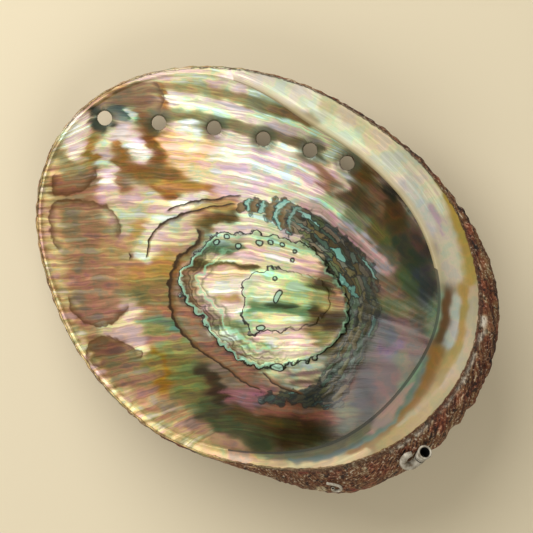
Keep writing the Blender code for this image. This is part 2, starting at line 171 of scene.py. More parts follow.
def spread(angle, reach, share):
    """Plan places a share of the way from the pole out to this reach."""
    out = np.stack([np.cos(angle), np.sin(angle)], -1) * np.asarray(reach)[..., None]
    share = np.asarray(share)[..., None]
    return POLE * (1 - share) + out * share


def wall(angle, share, s, reach, top, floor):
    """A wall that falls from its top, at this reach, to the floor at the pole, less the spire."""
    plan = spread(angle, reach, share)
    depth = (1 - share ** s["flat"]) ** (1 / s["steep"])
    away = ((plan - SPIRE) ** 2).sum(-1)
    return plan, floor + (top - floor) * (1 - depth), SPIRE_RISE * np.exp(-away / SPIRE_WIDTH**2)


def inner_wall(angle, share):
    s = section(angle)
    plan, height, swell = wall(angle, share, s, s["inner"], s["inner_height"], FLOOR_THICKNESS)
    return np.concatenate([plan, (height - INNER_SWELL * swell)[..., None]], -1)


def lip_under(angle, share):
    s = section(angle)
    swing = share * np.pi / 2
    reach = s["edge"] + (s["inner"] - s["edge"]) * np.cos(swing)
    top = s["edge_height"] - s["nose"]
    height = s["inner_height"] + (top - s["inner_height"]) * np.sin(swing)
    return np.concatenate([spread(angle, reach, 1.0), height[..., None]], -1)


def lip_nose(angle, share):
    s = section(angle)
    reach = s["edge"] - s["nose"] / 3 * np.sin(np.pi * share)
    height = s["edge_height"] - s["nose"] * (1 - share)
    return np.concatenate([spread(angle, reach, 1.0), height[..., None]], -1)


def lip(angle, share):
    s = section(angle)
    width = s["rim"] - s["edge"]
    dish = -LIP_DISH * width * np.sin(np.pi * share)
    height = s["edge_height"] + (s["rim_height"] - s["edge_height"]) * share + dish
    return np.concatenate([spread(angle, s["edge"] + width * share, 1.0), height[..., None]], -1)


def band(angle, share):
    s = section(angle)
    swing = share * np.pi / 2
    reach = s["rim"] + (s["body"] - s["rim"]) * np.sin(swing)
    height = s["body_height"] + (s["rim_height"] - s["body_height"]) * np.cos(swing)
    return np.concatenate([spread(angle, reach, 1.0), height[..., None]], -1)


def outer_wall(angle, share):
    s = section(angle)
    plan, height, swell = wall(angle, share, s, s["body"], s["body_height"], 0.0)
    return np.concatenate([plan, (height - swell)[..., None]], -1)


def stream(plan):
    """Where a place lies in the shell's growth: its cord, as an angle, and its age, 0 at the edge."""
    away = plan - SPIRE
    radius = np.log(np.maximum(np.hypot(away[..., 0], away[..., 1]), 0.05))
    turn = np.arctan2(away[..., 1], away[..., 0])
    angles = np.linspace(0, 2 * np.pi, RAY_COUNT)
    edge = spread(angles, section(angles)["body"], 1.0) - SPIRE
    edge_turn = np.unwrap(np.arctan2(edge[:, 1], edge[:, 0]))
    edge_radius = np.log(np.hypot(edge[:, 0], edge[:, 1]))
    age = np.zeros(radius.shape)
    found = np.zeros(radius.shape, bool)
    last_gap = np.zeros(radius.shape)
    for now in np.arange(0, OLDEST, AGE_STEP):
        swing = turn + TURN_AT_EDGE * now + TURN_AT_SPIRE * now**2
        likeness = np.exp(-ROUNDING_OFF * now)
        reach = np.interp(swing, edge_turn, edge_radius, period=2 * np.pi)
        gap = likeness * reach + (1 - likeness) * edge_radius.mean() - now - radius
        crossed = ~found & (gap <= 0)
        back = AGE_STEP * gap / np.minimum(gap - last_gap, -1e-9)
        age = np.where(crossed, np.maximum(now - back, 0), age)
        found |= crossed
        last_gap = gap
    age = np.where(found, age, OLDEST)
    return turn + TURN_AT_EDGE * age + TURN_AT_SPIRE * age**2, age


# The shell's skin is one closed sheet, wound from the deepest point of the nacre over the lip and
# back to the pole of the outside, with fewer columns towards the poles.
COLUMNS = 768
COARSER_BELOW = (0.9, 0.42, 0.2)
RINGS = {inner_wall: 122, lip_under: 4, lip_nose: 5, lip: 22, band: 11, outer_wall: 80}

skin_rings = []
for stretch, count in RINGS.items():
    shares = np.linspace(0, 1, count + 1)[1:]
    if stretch is outer_wall:
        shares = shares[::-1]
    if stretch is band:
        shares = shares[:-1]
    for share in shares:
        on_wall = stretch in (inner_wall, outer_wall)
        halved = sum(share < limit for limit in COARSER_BELOW) if on_wall else 0
        skin_rings.append((stretch, share, COLUMNS >> halved))

pole_angle = np.zeros(1)
places = [inner_wall(pole_angle, pole_angle)]
stretches = [np.zeros(1, int)]
ring_angles = [pole_angle]
ring_shares = [pole_angle]
loops = []
total = 1
for stretch, share, columns in skin_rings:
    angle = np.arange(columns) / columns * 2 * np.pi
    places.append(stretch(angle, np.full(columns, share)))
    stretches.append(np.full(columns, list(RINGS).index(stretch)))
    ring_angles.append(angle)
    ring_shares.append(np.full(columns, share))
    loops.append(np.arange(total, total + columns))
    total += columns
places.append(outer_wall(pole_angle, pole_angle))
stretches.append(np.full(1, list(RINGS).index(outer_wall)))
ring_angles.append(pole_angle)
ring_shares.append(pole_angle)
places = np.concatenate(places)
stretches = np.concatenate(stretches)
ring_angles = np.concatenate(ring_angles)
ring_shares = np.concatenate(ring_shares)

faces = [(0, a, b) for a, b in zip(loops[0], np.roll(loops[0], -1))]
for near, far in zip(loops, loops[1:]):
    if len(near) == len(far):
        faces += zip(near, far, np.roll(far, -1), np.roll(near, -1))
        continue
    many, few = (near, far) if len(near) > len(far) else (far, near)
    a, b, c = many[::2], many[1::2], np.roll(many, -2)[::2]
    fans = [(few, a, b), (few, b, np.roll(few, -1)), (np.roll(few, -1), b, c)]
    for fan in fans:
        faces += zip(*(fan[::-1] if many is near else fan))
faces += [(total, b, a) for a, b in zip(loops[-1], np.roll(loops[-1], -1))]


def out_of(places, faces):
    """The surface's normal at each of its places."""
    corners = np.array([(f[0], f[1], f[2]) for f in faces] + [(f[0], f[2], f[-1]) for f in faces])
    a, b, c = (places[corners[:, k]] for k in range(3))
    areas = np.cross(b - a, c - a)
    normals = np.zeros_like(places)
    for k in range(3):
        np.add.at(normals, corners[:, k], areas)
    return normals / np.linalg.norm(normals, axis=1)[:, None]


normals = out_of(places, faces)
lined = stretches <= list(RINGS).index(lip)
on_lip = stretches == list(RINGS).index(lip)
in_bowl = stretches == list(RINGS).index(inner_wall)
crusted = ~lined
plan = places[:, :2]
cord, age = stream(plan)
sides = section(ring_angles)
rim_place = spread(ring_angles, sides["rim"], 1.0)
to_rim = np.hypot(*(plan - rim_place).T)
low = RIM_LEVEL - (places[:, 2] - LOWERED)
nearer = CAMERA_ABOVE_RIM / (CAMERA_ABOVE_RIM + low)
seen = view_centre + (plan - view_centre) * nearer[:, None]

# The scars, stains and lines in the nacre follow outlines drawn over the photograph, in its pixels.
# They are what the animal's muscle, its repairs and its dark skin have left in the lining.
MUSCLE_SCAR = [
    (221, 232), (213, 237), (202, 245), (192, 256), (190, 262), (181, 266), (179, 279), (181, 292),
    (187, 303), (194, 311), (203, 319), (208, 328), (211, 338), (225, 348), (236, 357), (249, 366),
    (261, 370), (271, 367), (281, 370), (285, 366), (298, 365), (308, 360), (323, 354), (334, 345),
    (343, 334), (349, 322), (348, 305), (346, 292), (340, 282), (331, 272), (323, 259), (314, 249),
    (305, 244), (292, 240), (278, 236), (259, 234), (252, 231), (240, 234), (232, 231),
]  # fmt: skip
YOUNG_SCAR = [
    (271, 266), (266, 273), (259, 271), (249, 275), (243, 284), (240, 293), (245, 298), (246, 302),
    (241, 311), (241, 320), (248, 328), (250, 334), (254, 338), (258, 333), (264, 332), (278, 331),
    (294, 329), (310, 326), (322, 318), (330, 306), (330, 292), (323, 282), (310, 277), (295, 273),
    (283, 270), (276, 266),
]  # fmt: skip
PITS = [
    [(279, 289), (283, 291), (279, 298), (276, 303), (273, 301), (275, 294)],
    [(276, 364), (284, 366), (282, 372), (272, 370), (269, 366)],
    [(236, 243), (240, 243), (242, 247), (238, 250), (235, 247)],
    [(257, 240), (262, 240), (263, 244), (259, 246), (256, 243)],
    [(293, 249), (297, 250), (296, 253), (292, 253)],
    [(290, 258), (294, 258), (294, 262), (290, 262)],
    [(268, 240), (273, 240), (273, 245), (269, 245)],
    [(280, 242), (285, 243), (284, 247), (280, 246)],
    [(224, 234), (229, 234), (230, 239), (225, 239)],
    [(214, 240), (219, 239), (219, 244), (214, 245)],
    [(272, 277), (277, 276), (277, 280), (273, 281)],
    [(255, 327), (262, 325), (266, 329), (258, 332)],
]
REPAIR_BAND = [
    (235, 207), (238, 200), (248, 197), (270, 199), (287, 200), (305, 207), (318, 214), (330, 222),
    (345, 236), (358, 249), (369, 262), (378, 277), (382, 300), (380, 318), (374, 335), (366, 350),
    (360, 366), (352, 384), (347, 398), (338, 409), (322, 406), (300, 405), (280, 405), (258, 403),
    (258, 394), (280, 393), (300, 391), (314, 386), (322, 376), (328, 362), (334, 350), (344, 340),
    (350, 322), (349, 300), (341, 284), (333, 272), (325, 258), (315, 249), (304, 243), (303, 236),
    (290, 232), (277, 228), (266, 216), (252, 214), (242, 213),
]  # fmt: skip
BAND_LINE = [
    (236, 204), (262, 206), (290, 215), (318, 233), (342, 257), (360, 285), (364, 315), (352, 350),
    (335, 380), (300, 398), (262, 400),
]  # fmt: skip
SEAMS = [  # where later nacre has closed over the rim of earlier nacre
    [(196, 227), (203, 233), (200, 243), (190, 250), (180, 258), (174, 272), (171, 292), (173, 311),
     (180, 328), (196, 346), (215, 360), (234, 373), (247, 384), (262, 389)],
    [(262, 371), (270, 379), (280, 386), (293, 390), (304, 394)],
    [(242, 196), (219, 199), (194, 203), (177, 207), (166, 212)],
    [(236, 204), (202, 209), (177, 217), (161, 226), (151, 236), (148, 249), (147, 259)],
    [(130, 251), (133, 256), (130, 261)],
]  # fmt: skip
SEAM_WIDTHS = [  # half of each line's width in millimetres, from its start to its end
    [0.7, 0.8, 1.0, 0.9, 0.7, 0.6, 0.45, 0.4, 0.35],
    [0.35, 0.4, 0.45, 0.4],
    [0.35, 0.5, 0.5, 0.4],
    [0.35, 0.4, 0.65, 0.5, 0.35],
    [0.5, 0.6, 0.5],
]
STAINS = [
    [(123, 83), (140, 80), (158, 82), (165, 93), (164, 108), (151, 115), (143, 123), (130, 120),
     (118, 112), (108, 106), (100, 98), (105, 88), (113, 82)],
    [(53, 176), (51, 191), (60, 197), (78, 194), (91, 186), (97, 172), (98, 158), (92, 145),
     (80, 150), (66, 158)],
    [(51, 204), (58, 199), (75, 200), (95, 202), (110, 207), (119, 219), (121, 226), (118, 240),
     (122, 262), (126, 280), (131, 300), (126, 312), (116, 321), (101, 327), (86, 325), (75, 317),
     (68, 303), (64, 275), (58, 250), (51, 235), (49, 216)],
    [(86, 361), (84, 350), (91, 339), (106, 335), (123, 341), (136, 348), (144, 354), (130, 366),
     (104, 370), (90, 366)],
]  # fmt: skip
STAIN_EDGES = [  # the stretches of the stains' outlines that are a brown line
    [(158, 82), (165, 93), (164, 106)],
    [(51, 180), (52, 192), (60, 197), (78, 194), (91, 186), (97, 174)],
    [(57, 243), (50, 231), (49, 216), (51, 204), (58, 199), (75, 200), (92, 203)],
    [(104, 206), (112, 209), (112, 213)],
    [(114, 218), (121, 226), (116, 230)],
    [(68, 303), (72, 312), (78, 321), (91, 326), (103, 328), (116, 321), (126, 312)],
    [(94, 366), (86, 361), (84, 350), (91, 339), (102, 335), (113, 337), (126, 342), (143, 353)],
    [(118, 144), (126, 156), (134, 162)],
]
GUIDES = [  # lines that the nacre's streaks follow, from left to right
    [(0, 120), (60, 95), (120, 66), (200, 58), (270, 62), (340, 90), (400, 130), (450, 180)],
    [(0, 160), (50, 130), (105, 92), (150, 84), (200, 90), (250, 101), (300, 120), (350, 148),
     (450, 250)],
    [(0, 170), (50, 145), (104, 118), (157, 122), (210, 129), (259, 137), (303, 149), (342, 161),
     (400, 200), (450, 270)],
    [(0, 170), (50, 160), (100, 148), (150, 148), (200, 150), (250, 156), (300, 172), (350, 200),
     (450, 300)],
    [(0, 190), (60, 190), (110, 184), (160, 185), (200, 184), (250, 192), (320, 212), (450, 320)],
    [(0, 236), (60, 240), (150, 240), (250, 240), (330, 262), (450, 330)],
    [(0, 296), (60, 293), (150, 288), (250, 285), (350, 300), (450, 340)],
    [(0, 350), (60, 342), (150, 328), (250, 322), (350, 325), (450, 350)],
    [(0, 410), (60, 390), (100, 378), (160, 364), (250, 356), (350, 355), (450, 360)],
    [(0, 450), (80, 416), (119, 403), (161, 388), (244, 379), (340, 388), (450, 380)],
    [(0, 500), (100, 440), (141, 419), (182, 404), (227, 396), (300, 408), (450, 400)],
    [(0, 560), (140, 456), (169, 434), (194, 423), (240, 420), (300, 430), (450, 430)],
    [(0, 640), (170, 480), (194, 448), (216, 434), (260, 440), (330, 455), (450, 460)],
]  # fmt: skip
GUIDE_READ_AT = 200


def rounded(outline, closed=True):
    """An outline in pixels as a smooth one in millimetres, its corners cut off twice."""
    line = place_of(outline)
    for _ in range(2):
        starts, ends = (line, np.roll(line, -1, 0)) if closed else (line[:-1], line[1:])
        cut = np.stack([starts * 0.75 + ends * 0.25, starts * 0.25 + ends * 0.75], 1).reshape(-1, 2)
        line = cut if closed else np.vstack([line[:1], cut, line[-1:]])
    return line


def to_line(spots, line):
    """How far each spot is from a line, how far along it that is, and on which side."""
    nearest, run, side = np.full(len(spots), 1e9), np.zeros(len(spots)), np.zeros(len(spots))
    gone = 0.0
    for a, b in zip(line, line[1:]):
        step = b - a
        length = max(np.hypot(*step), 1e-6)
        along = np.clip((spots - a) @ step / length**2, 0, 1)
        off = spots - a - along[:, None] * step
        gap = np.hypot(off[:, 0], off[:, 1])
        closer = gap < nearest
        nearest = np.where(closer, gap, nearest)
        run = np.where(closer, gone + along * length, run)
        side = np.where(closer, np.sign(step[0] * off[:, 1] - step[1] * off[:, 0]), side)
        gone += length
    return nearest, run, side, gone


def depth_in(spots, outline):
    """How far inside a closed outline each spot is, less than nothing outside it."""
    gap = to_line(spots, np.vstack([outline, outline[:1]]))[0]
    within = np.zeros(len(spots), bool)
    for a, b in zip(outline, np.roll(outline, -1, 0)):
        spans = (a[1] > spots[:, 1]) != (b[1] > spots[:, 1])
        crossing = a[0] + (spots[:, 1] - a[1]) * (b[0] - a[0]) / (b[1] - a[1] + 1e-12)
        within ^= spans & (spots[:, 0] < crossing)
    return np.where(within, gap, -gap)


def grain(spots, size, seed):
    """Smooth random numbers from about -1 to 1 with lumps of this size, the same on each run."""
    return np.array([noise.noise(Vector((*(spot / size), seed))) for spot in spots])


def lumpy(points, size=1.0):
    """The same at points in space."""
    return np.array([noise.noise(Vector(point) / size) for point in points])


on_nacre = np.flatnonzero(lined)
spots = seen[on_nacre]
right, up = np.array([np.cos(TURN), np.sin(TURN)]), np.array([-np.sin(TURN), np.cos(TURN)])
in_picture = (spots - KNOWN_PLACE) @ np.stack([right, up], -1)
pixels = in_picture / MM_PER_PIXEL * [1, -1] + KNOWN_PIXEL
ACROSS, DOWN = 0, 1


def beyond(way, pixel, fade):
    """From 0 to 1 past this column or row of the photograph, or before it where the fade is below 0."""
    return smooth_step((pixels[:, way] - pixel) / fade)


# The flow of the nacre: its layers were laid down in streaks, which run between the guide lines in
# the bowl, and along the lip on the broad inner lip.
IS_BROAD = 0.3
heights = [np.interp(pixels[:, 0], *np.array(guide, float).T) for guide in GUIDES]
values = [np.interp(GUIDE_READ_AT, *np.array(guide, float).T) for guide in GUIDES]
across = np.full(len(spots), values[0])
for above, below, first, last in zip(heights, heights[1:], values, values[1:]):
    across += np.clip((pixels[:, 1] - above) / (below - above), 0, 1) * (last - first)
lip_width = sides["rim"] - sides["edge"]
from_lip_edge = np.where(on_lip, ring_shares * lip_width, 0.0)
broad_lip = (stretches > 0) & lined & (sides["lip"] > IS_BROAD)
flow = np.zeros((len(places), 3))
flow[on_nacre, 0] = pixels[:, 0] * MM_PER_PIXEL
flow[on_nacre, 1] = across * MM_PER_PIXEL
LIP_RADII = (65, 6)
LIP_FLOW_START = 40
lip_flow = [
    LIP_RADII[0] * np.cos(ring_angles),
    LIP_RADII[1] * np.sin(ring_angles),
    LIP_FLOW_START + 1.1 * from_lip_edge,
]
flow[broad_lip] = np.stack(lip_flow, -1)[broad_lip]

COARSE, FINE = 2.6, 1.3
coarse = grain(spots, COARSE, 3.1)
fine = grain(spots, FINE, 7.7)
FAR = 99.0  # stands for no mark near


def field(values, elsewhere):
    """A value for each place on the shell, of which only those on the nacre have their own."""
    whole = np.full(len(places), elsewhere)
    whole[on_nacre] = values
    return whole


scar = field(depth_in(spots, rounded(MUSCLE_SCAR)), -FAR)
young = field(depth_in(spots, rounded(YOUNG_SCAR)), -FAR)
repair = field(depth_in(spots, rounded(REPAIR_BAND)), -FAR)
stain = field(np.max([depth_in(spots, rounded(s)) for s in STAINS], 0), -FAR)
pit = field(np.max([depth_in(spots, rounded(s)) for s in PITS], 0), -FAR)
edged = [to_line(spots, rounded(line, closed=False))[0] for line in STAIN_EDGES]
stain_edge = field(smooth_step(1.5 - np.min(edged, 0) / 2.2), 0.0)
gap, band_run, side, _ = to_line(spots, rounded(BAND_LINE, closed=False))
run = field(band_run, 0.0)
off_line = field(gap * side, FAR)
seams = []
for line, widths in zip(SEAMS, SEAM_WIDTHS):
    gap, gone, side, whole = to_line(spots, rounded(line, closed=False))
    ends = smooth_step(gone / 1.0) * smooth_step((whole - gone) / 1.0)
    shown = ends * smooth_step((4.0 - gap) / 2.0)
    width = np.interp(gone / whole, np.linspace(0, 1, len(widths)), widths)
    seams.append((field(gap * side / width, FAR), field(shown, 0.0)))

# The nacre's colour is laid on in soft strokes, drawn over the photograph: each has a colour, a
# width in pixels and the line that it follows. They stand for how thick the clear layers are, which
# sets their colour, and for the stains that show through them; the palest of them are partly
# painted highlights and a painted reflection on the plate, and some dark ones partly painted shade.
STROKES = [
    ("#bc9e68", 9, [(46, 150), (38, 200), (42, 250), (55, 300)]),
    ("#c4ac74", 9, [(66, 335), (105, 388), (150, 420), (200, 446)]),
    ("#d8d8ac", 5, [(66, 118), (60, 132)]),
    # Painted highlight on the nacre by the thin left lip.
    ("#fdebd8", 6, [(78, 118), (72, 135), (72, 152)]),
    ("#96805c", 9, [(60, 155), (76, 168)]),
    ("#88644c", 7, [(57, 187), (73, 187), (90, 180)]),
    ("#8a6c2c", 6, [(93, 142), (92, 158)]),
    ("#b4b49c", 4, [(103, 150), (106, 166)]),
    ("#8a705a", 12, [(82, 215), (86, 250)]),
    ("#907060", 12, [(90, 270), (98, 300)]),
    ("#8a6a60", 9, [(92, 312), (110, 315)]),
    ("#b4a88c", 5, [(126, 200), (130, 210)]),
    ("#a9a488", 5, [(122, 219), (126, 228)]),
    # Painted highlight.
    ("#fbe6e4", 4, [(108, 172), (108, 180)]),
    ("#e0bca8", 4, [(110, 191), (116, 194)]),
    ("#8a644c", 5, [(120, 183), (124, 190)]),
    ("#a88a3e", 6, [(133, 232), (142, 228)]),
    ("#ddd0b4", 4, [(148, 234), (165, 222)]),
    ("#d6c8a0", 4, [(143, 250), (146, 258)]),
    ("#a0845c", 10, [(110, 250), (125, 262)]),
    ("#a8843c", 7, [(135, 270), (162, 266)]),
    ("#80704a", 11, [(140, 292), (160, 300)]),
    ("#9a7458", 6, [(150, 310), (165, 312)]),
    ("#c4b488", 5, [(110, 331), (136, 328)]),
    ("#b8ac90", 5, [(128, 316), (132, 306)]),
    ("#cbb890", 4, [(130, 338), (146, 351)]),
    ("#6c5040", 7, [(95, 350), (112, 348)]),
    ("#7a6a50", 8, [(112, 362), (130, 362)]),
    ("#868a58", 9, [(153, 330), (178, 345)]),
    ("#a4806c", 5, [(150, 340), (176, 336)]),
    ("#5c7c68", 4, [(150, 318), (172, 322), (178, 332)]),
    ("#7e7440", 9, [(150, 362), (175, 366)]),
    ("#866818", 3, [(158, 352), (165, 368), (164, 388)]),
    ("#8e7660", 9, [(120, 378), (140, 376)]),
    ("#a88870", 9, [(140, 400), (169, 413)]),
    ("#c0a268", 4, [(112, 392), (140, 417), (172, 436), (210, 452)]),
    ("#352608", 5, [(205, 373), (218, 386), (220, 398)]),
    ("#6c7040", 8, [(185, 370), (192, 390)]),
    ("#8c6070", 8, [(236, 392), (252, 400)]),
    ("#8a6c58", 6, [(222, 372), (238, 384)]),
    # Partly painted shade: this dark olive stroke and the next, on the lower wall.
    ("#40482c", 9, [(205, 412), (240, 432), (265, 445)]),
    ("#4c3c12", 8, [(240, 413), (276, 424)]),
    ("#a08a74", 4, [(192, 424), (215, 438), (245, 450)]),
    ("#b4a474", 4, [(225, 454), (255, 461), (290, 464)]),
    # Painted shade in the deep hollow under the lower lip.
    ("#3c300c", 12, [(285, 438), (305, 436), (322, 430)]),
    ("#8a5c4c", 3, [(262, 411), (300, 409), (330, 420)]),
    ("#5c5c48", 5, [(275, 455), (310, 454), (340, 444), (365, 430)]),
    ("#7c5a50", 5, [(350, 372), (345, 390)]),
    ("#e0cfae", 4, [(130, 77), (180, 73), (215, 75)]),
    ("#b89a68", 5, [(92, 100), (105, 88), (120, 78)]),
    ("#6c5438", 9, [(122, 96), (145, 92)]),
    ("#86601c", 3, [(160, 86), (164, 96), (163, 107)]),
    ("#9c8c64", 6, [(80, 105), (88, 98)]),
    ("#8c8054", 4, [(166, 86), (200, 90), (240, 99), (280, 113), (310, 122)]),
    ("#dce8c8", 5, [(168, 98), (200, 101), (235, 111), (280, 124), (322, 137)]),
    # Partly painted shade: the grey-olive band along the hole row.
    ("#78744c", 4, [(160, 113), (200, 118), (240, 127), (280, 139), (318, 150)]),
    ("#6c4a18", 4, [(142, 118), (150, 134)]),
    ("#e8e8c4", 4, [(112, 132), (126, 138)]),
    ("#dcc8a4", 4, [(184, 130), (192, 137)]),
    # Painted highlights on the nacre below the hole row, in this and the next two strokes.
    ("#f8e4e0", 5, [(186, 124), (184, 132)]),
    ("#f8e8e0", 6, [(234, 138), (238, 150)]),
    ("#fff4f0", 5, [(281, 144), (288, 156)]),
    ("#f4ecd4", 3, [(328, 154), (334, 166)]),
    ("#8c5c20", 3, [(118, 143), (127, 157)]),
    # Painted highlight.
    ("#fff4f6", 5, [(134, 146), (140, 152)]),
    ("#6a4616", 5, [(152, 138), (156, 158)]),
    ("#e8a854", 8, [(168, 142), (186, 158), (204, 154)]),
    ("#f4cc88", 7, [(188, 150), (205, 166)]),
    ("#745424", 5, [(120, 164), (142, 172), (172, 177)]),
    ("#80581c", 3, [(160, 189), (178, 198)]),
    ("#ccb498", 5, [(136, 197), (156, 200)]),
    ("#a8843c", 5, [(165, 185), (205, 188)]),
    ("#efcfa8", 5, [(196, 178), (212, 182)]),
    ("#fdf0e4", 4, [(178, 204), (198, 196)]),
    ("#b89858", 4, [(200, 205), (230, 205)]),
    ("#604818", 3, [(208, 222), (235, 217)]),
    ("#d6dcc0", 4, [(222, 229), (250, 223), (276, 233), (300, 240)]),
    ("#94705c", 5, [(180, 290), (187, 312), (204, 336), (232, 362), (250, 374)]),
    # These four pale pink-white strokes below the hole row are partly the nacre's pale colour and partly a
    # painted highlight.
    ("#f8dcd4", 8, [(216, 168), (228, 178)]),
    ("#f8e8f0", 14, [(252, 176), (282, 176)]),
    ("#f4f4cc", 5, [(268, 188), (284, 192)]),
    ("#fae6e0", 8, [(300, 172), (316, 188)]),
    ("#a88a70", 5, [(322, 172), (332, 190)]),
    ("#f2dcd4", 4, [(338, 172), (344, 185)]),
    ("#b4d8b0", 4, [(326, 199), (338, 212)]),
    ("#d4b4c4", 3, [(312, 207), (340, 221), (360, 235), (376, 254), (386, 268)]),
    ("#6c4c14", 4, [(350, 168), (366, 176)]),
    ("#5c4c28", 7, [(352, 192), (364, 206)]),
    ("#8a6c54", 5, [(377, 196), (382, 206)]),
    ("#5a4010", 6, [(389, 206), (396, 226)]),
    ("#1e2418", 3, [(383, 190), (393, 198)]),
    ("#8c9878", 5, [(350, 216), (362, 228)]),
    ("#6c6c34", 6, [(374, 228), (384, 240)]),
    ("#3c4830", 7, [(400, 242), (412, 262)]),
    ("#5c4440", 4, [(416, 238), (424, 250)]),
    ("#7c7058", 5, [(372, 242), (392, 258)]),
    ("#58683c", 5, [(402, 276), (412, 286)]),
    ("#3c4448", 5, [(421, 274), (429, 292)]),
    ("#8c7460", 5, [(384, 284), (392, 292)]),
    ("#747448", 7, [(390, 302), (404, 312)]),
    ("#705650", 8, [(402, 322), (414, 342)]),
    ("#504c54", 5, [(384, 322), (390, 342)]),
    ("#6c5878", 4, [(388, 352), (397, 344)]),
    ("#746c4c", 6, [(400, 360), (408, 368)]),
    ("#7c4c48", 6, [(386, 368), (392, 380), (382, 394)]),
    ("#4c4450", 5, [(362, 378), (369, 392), (361, 408)]),
    ("#6c6448", 5, [(348, 408), (357, 414)]),
    ("#5c504c", 4, [(360, 420), (368, 416)]),
    ("#ecc4b0", 4, [(236, 253), (262, 250), (290, 256), (312, 263)]),
    ("#a8b88c", 3, [(262, 240), (285, 244), (306, 251)]),
    ("#54745c", 4, [(208, 250), (222, 252), (240, 249)]),
    ("#ecdca8", 3, [(212, 258), (247, 261), (264, 262)]),
    ("#4a4420", 1.6, [(194, 264), (225, 262), (256, 267)]),
    ("#d8b088", 4, [(214, 273), (240, 272)]),
    ("#fff0e4", 5, [(222, 288), (238, 287)]),
    ("#a89450", 3, [(222, 298), (236, 298)]),
    ("#ffe6d8", 5, [(226, 309), (237, 314)]),
    ("#8a946c", 5, [(222, 322), (242, 330)]),
    ("#ccf0b0", 4, [(249, 280), (251, 292)]),
    ("#b4d8a0", 4, [(270, 272), (280, 275)]),
    ("#fffacc", 5, [(254, 292), (268, 290)]),
    ("#b4bc78", 7, [(290, 290), (304, 298)]),
    ("#b0a868", 4, [(316, 296), (324, 300)]),
    ("#6c9068", 2.5, [(248, 308), (275, 309), (306, 312)]),
    ("#a8cc8c", 3, [(246, 315), (254, 322)]),
    ("#f6e6a4", 3, [(258, 315), (292, 320)]),
    ("#50400c", 4, [(316, 312), (326, 322)]),
    ("#f8cfc0", 4, [(262, 337), (285, 338), (308, 346)]),
    ("#a8c080", 3, [(248, 345), (266, 348)]),
    ("#f8f6bc", 4, [(252, 353), (272, 361), (298, 357)]),
    ("#8c8850", 4, [(318, 334), (326, 340)]),
    ("#a88c68", 3, [(334, 294), (338, 302)]),
    ("#d0c8bc", 2.5, [(290, 370), (318, 368)]),
    ("#8c7c80", 1.6, [(288, 374), (318, 372)]),
    ("#ccc4a8", 2.2, [(290, 378), (316, 377)]),
    ("#84746c", 1.6, [(292, 382), (314, 381)]),
    ("#c4b8a4", 2.2, [(296, 386), (312, 385)]),
    ("#3c3410", 3, [(318, 286), (328, 290)]),
    ("#3c2c0c", 4, [(322, 318), (330, 322)]),
    ("#303818", 1.4, [(270, 306), (292, 308)]),
    ("#f8f8d0", 3, [(222, 334), (230, 337)]),
    ("#3c4430", 11, [(318, 228), (345, 262), (362, 298), (356, 335), (342, 372), (318, 396)]),
    # The plate's strokes, this one and the next six, are palest at its top and greyer down its right side:
    # partly a painted reflection of the light above.
    ("#f6f6dc", 8, [(232, 78), (277, 88), (312, 102)]),
    ("#dfe9c8", 6, [(338, 117), (358, 134)]),
    ("#dcd2a8", 6, [(326, 106), (378, 142)]),
    ("#d0cab0", 6, [(384, 162), (398, 176)]),
    ("#b6b6ac", 5, [(406, 182), (419, 202), (431, 228)]),
    ("#cac6a8", 5, [(424, 178), (441, 206)]),
    ("#b4b098", 6, [(440, 228), (449, 250), (453, 272)]),
    ("#a08c98", 2, [(432, 208), (444, 236)]),
    ("#9c8430", 2.5, [(440, 180), (456, 216), (466, 249), (471, 282)]),
    ("#7c9878", 3, [(440, 296), (439, 312), (435, 330)]),
    ("#5a3c08", 4, [(447, 296), (445, 318), (440, 338)]),
    ("#84601a", 4, [(438, 352), (431, 368), (422, 393), (409, 408), (396, 424), (373, 445), (350, 452)]),
    ("#64786a", 1.6, [(425, 360), (419, 376), (410, 396), (393, 423), (368, 439)]),
    ("#789478", 2.5, [(421, 366), (412, 380), (402, 388)]),
    ("#a48c80", 4, [(412, 384), (399, 402), (385, 418), (372, 432)]),
    ("#6c6c50", 4, [(366, 430), (348, 442), (330, 450), (300, 457), (272, 456)]),
    ("#94803c", 4, [(452, 360), (438, 388), (418, 411), (399, 429), (378, 444)]),
    ("#a6aa9e", 3, [(456, 300), (455, 326), (449, 344)]),
    ("#947818", 2, [(464, 288), (462, 333), (456, 350), (446, 372)]),
    ("#a89878", 3, [(474, 290), (473, 325), (467, 346), (454, 370), (437, 390), (418, 410), (398, 427)]),
    ("#5a6c68", 1.6, [(364, 441), (340, 453), (312, 459), (286, 459)]),
    ("#c4ae80", 2.5, [(280, 468), (312, 467), (340, 461), (366, 450)]),
    # Painted light round the first hole, in these three strokes: shade on the lower left of its funnel and
    # a highlight on its upper right.
    ("#1c2220", 2, [(96, 110), (94, 119), (97, 126), (105, 129), (112, 127)]),
    ("#304c44", 2, [(110, 108), (119, 110), (127, 116)]),
    ("#98e0b8", 2, [(126, 113), (131, 115)]),
]


def linear(hex_code):
    """An sRGB hex colour as linear light."""
    coded = np.array([int(hex_code[i : i + 2], 16) for i in (1, 3, 5)]) / 255
    return np.where(coded <= 0.04045, coded / 12.92, ((coded + 0.055) / 1.055) ** 2.4)


STREAK_SIZE = (14, 1.6)  # along and across the flow
# Painted light and shade on the nacre, set by the numbers below: brighter to the left, darker to the right
# and down the view, one level on the plate, brighter in the scar, and darker at the lower right.
PAINTED_SHADE_SLOPE = [0.0130, 0.0015]  # how fast the layers darken to the right and down the picture
SHADED_SLOPE = 0.72
MOST_PAINTED_LIGHT, DARKEST = 1.6, 0.55
PLATE_SHADE = 0.82
SCAR_GLOW = 0.3
FAR_RIGHT_FROM = (350, 190)
LOW_RIGHT_FROM = (335, 350)
LOW_RIGHT_SHADE = [0.42, 0.46, 0.58]

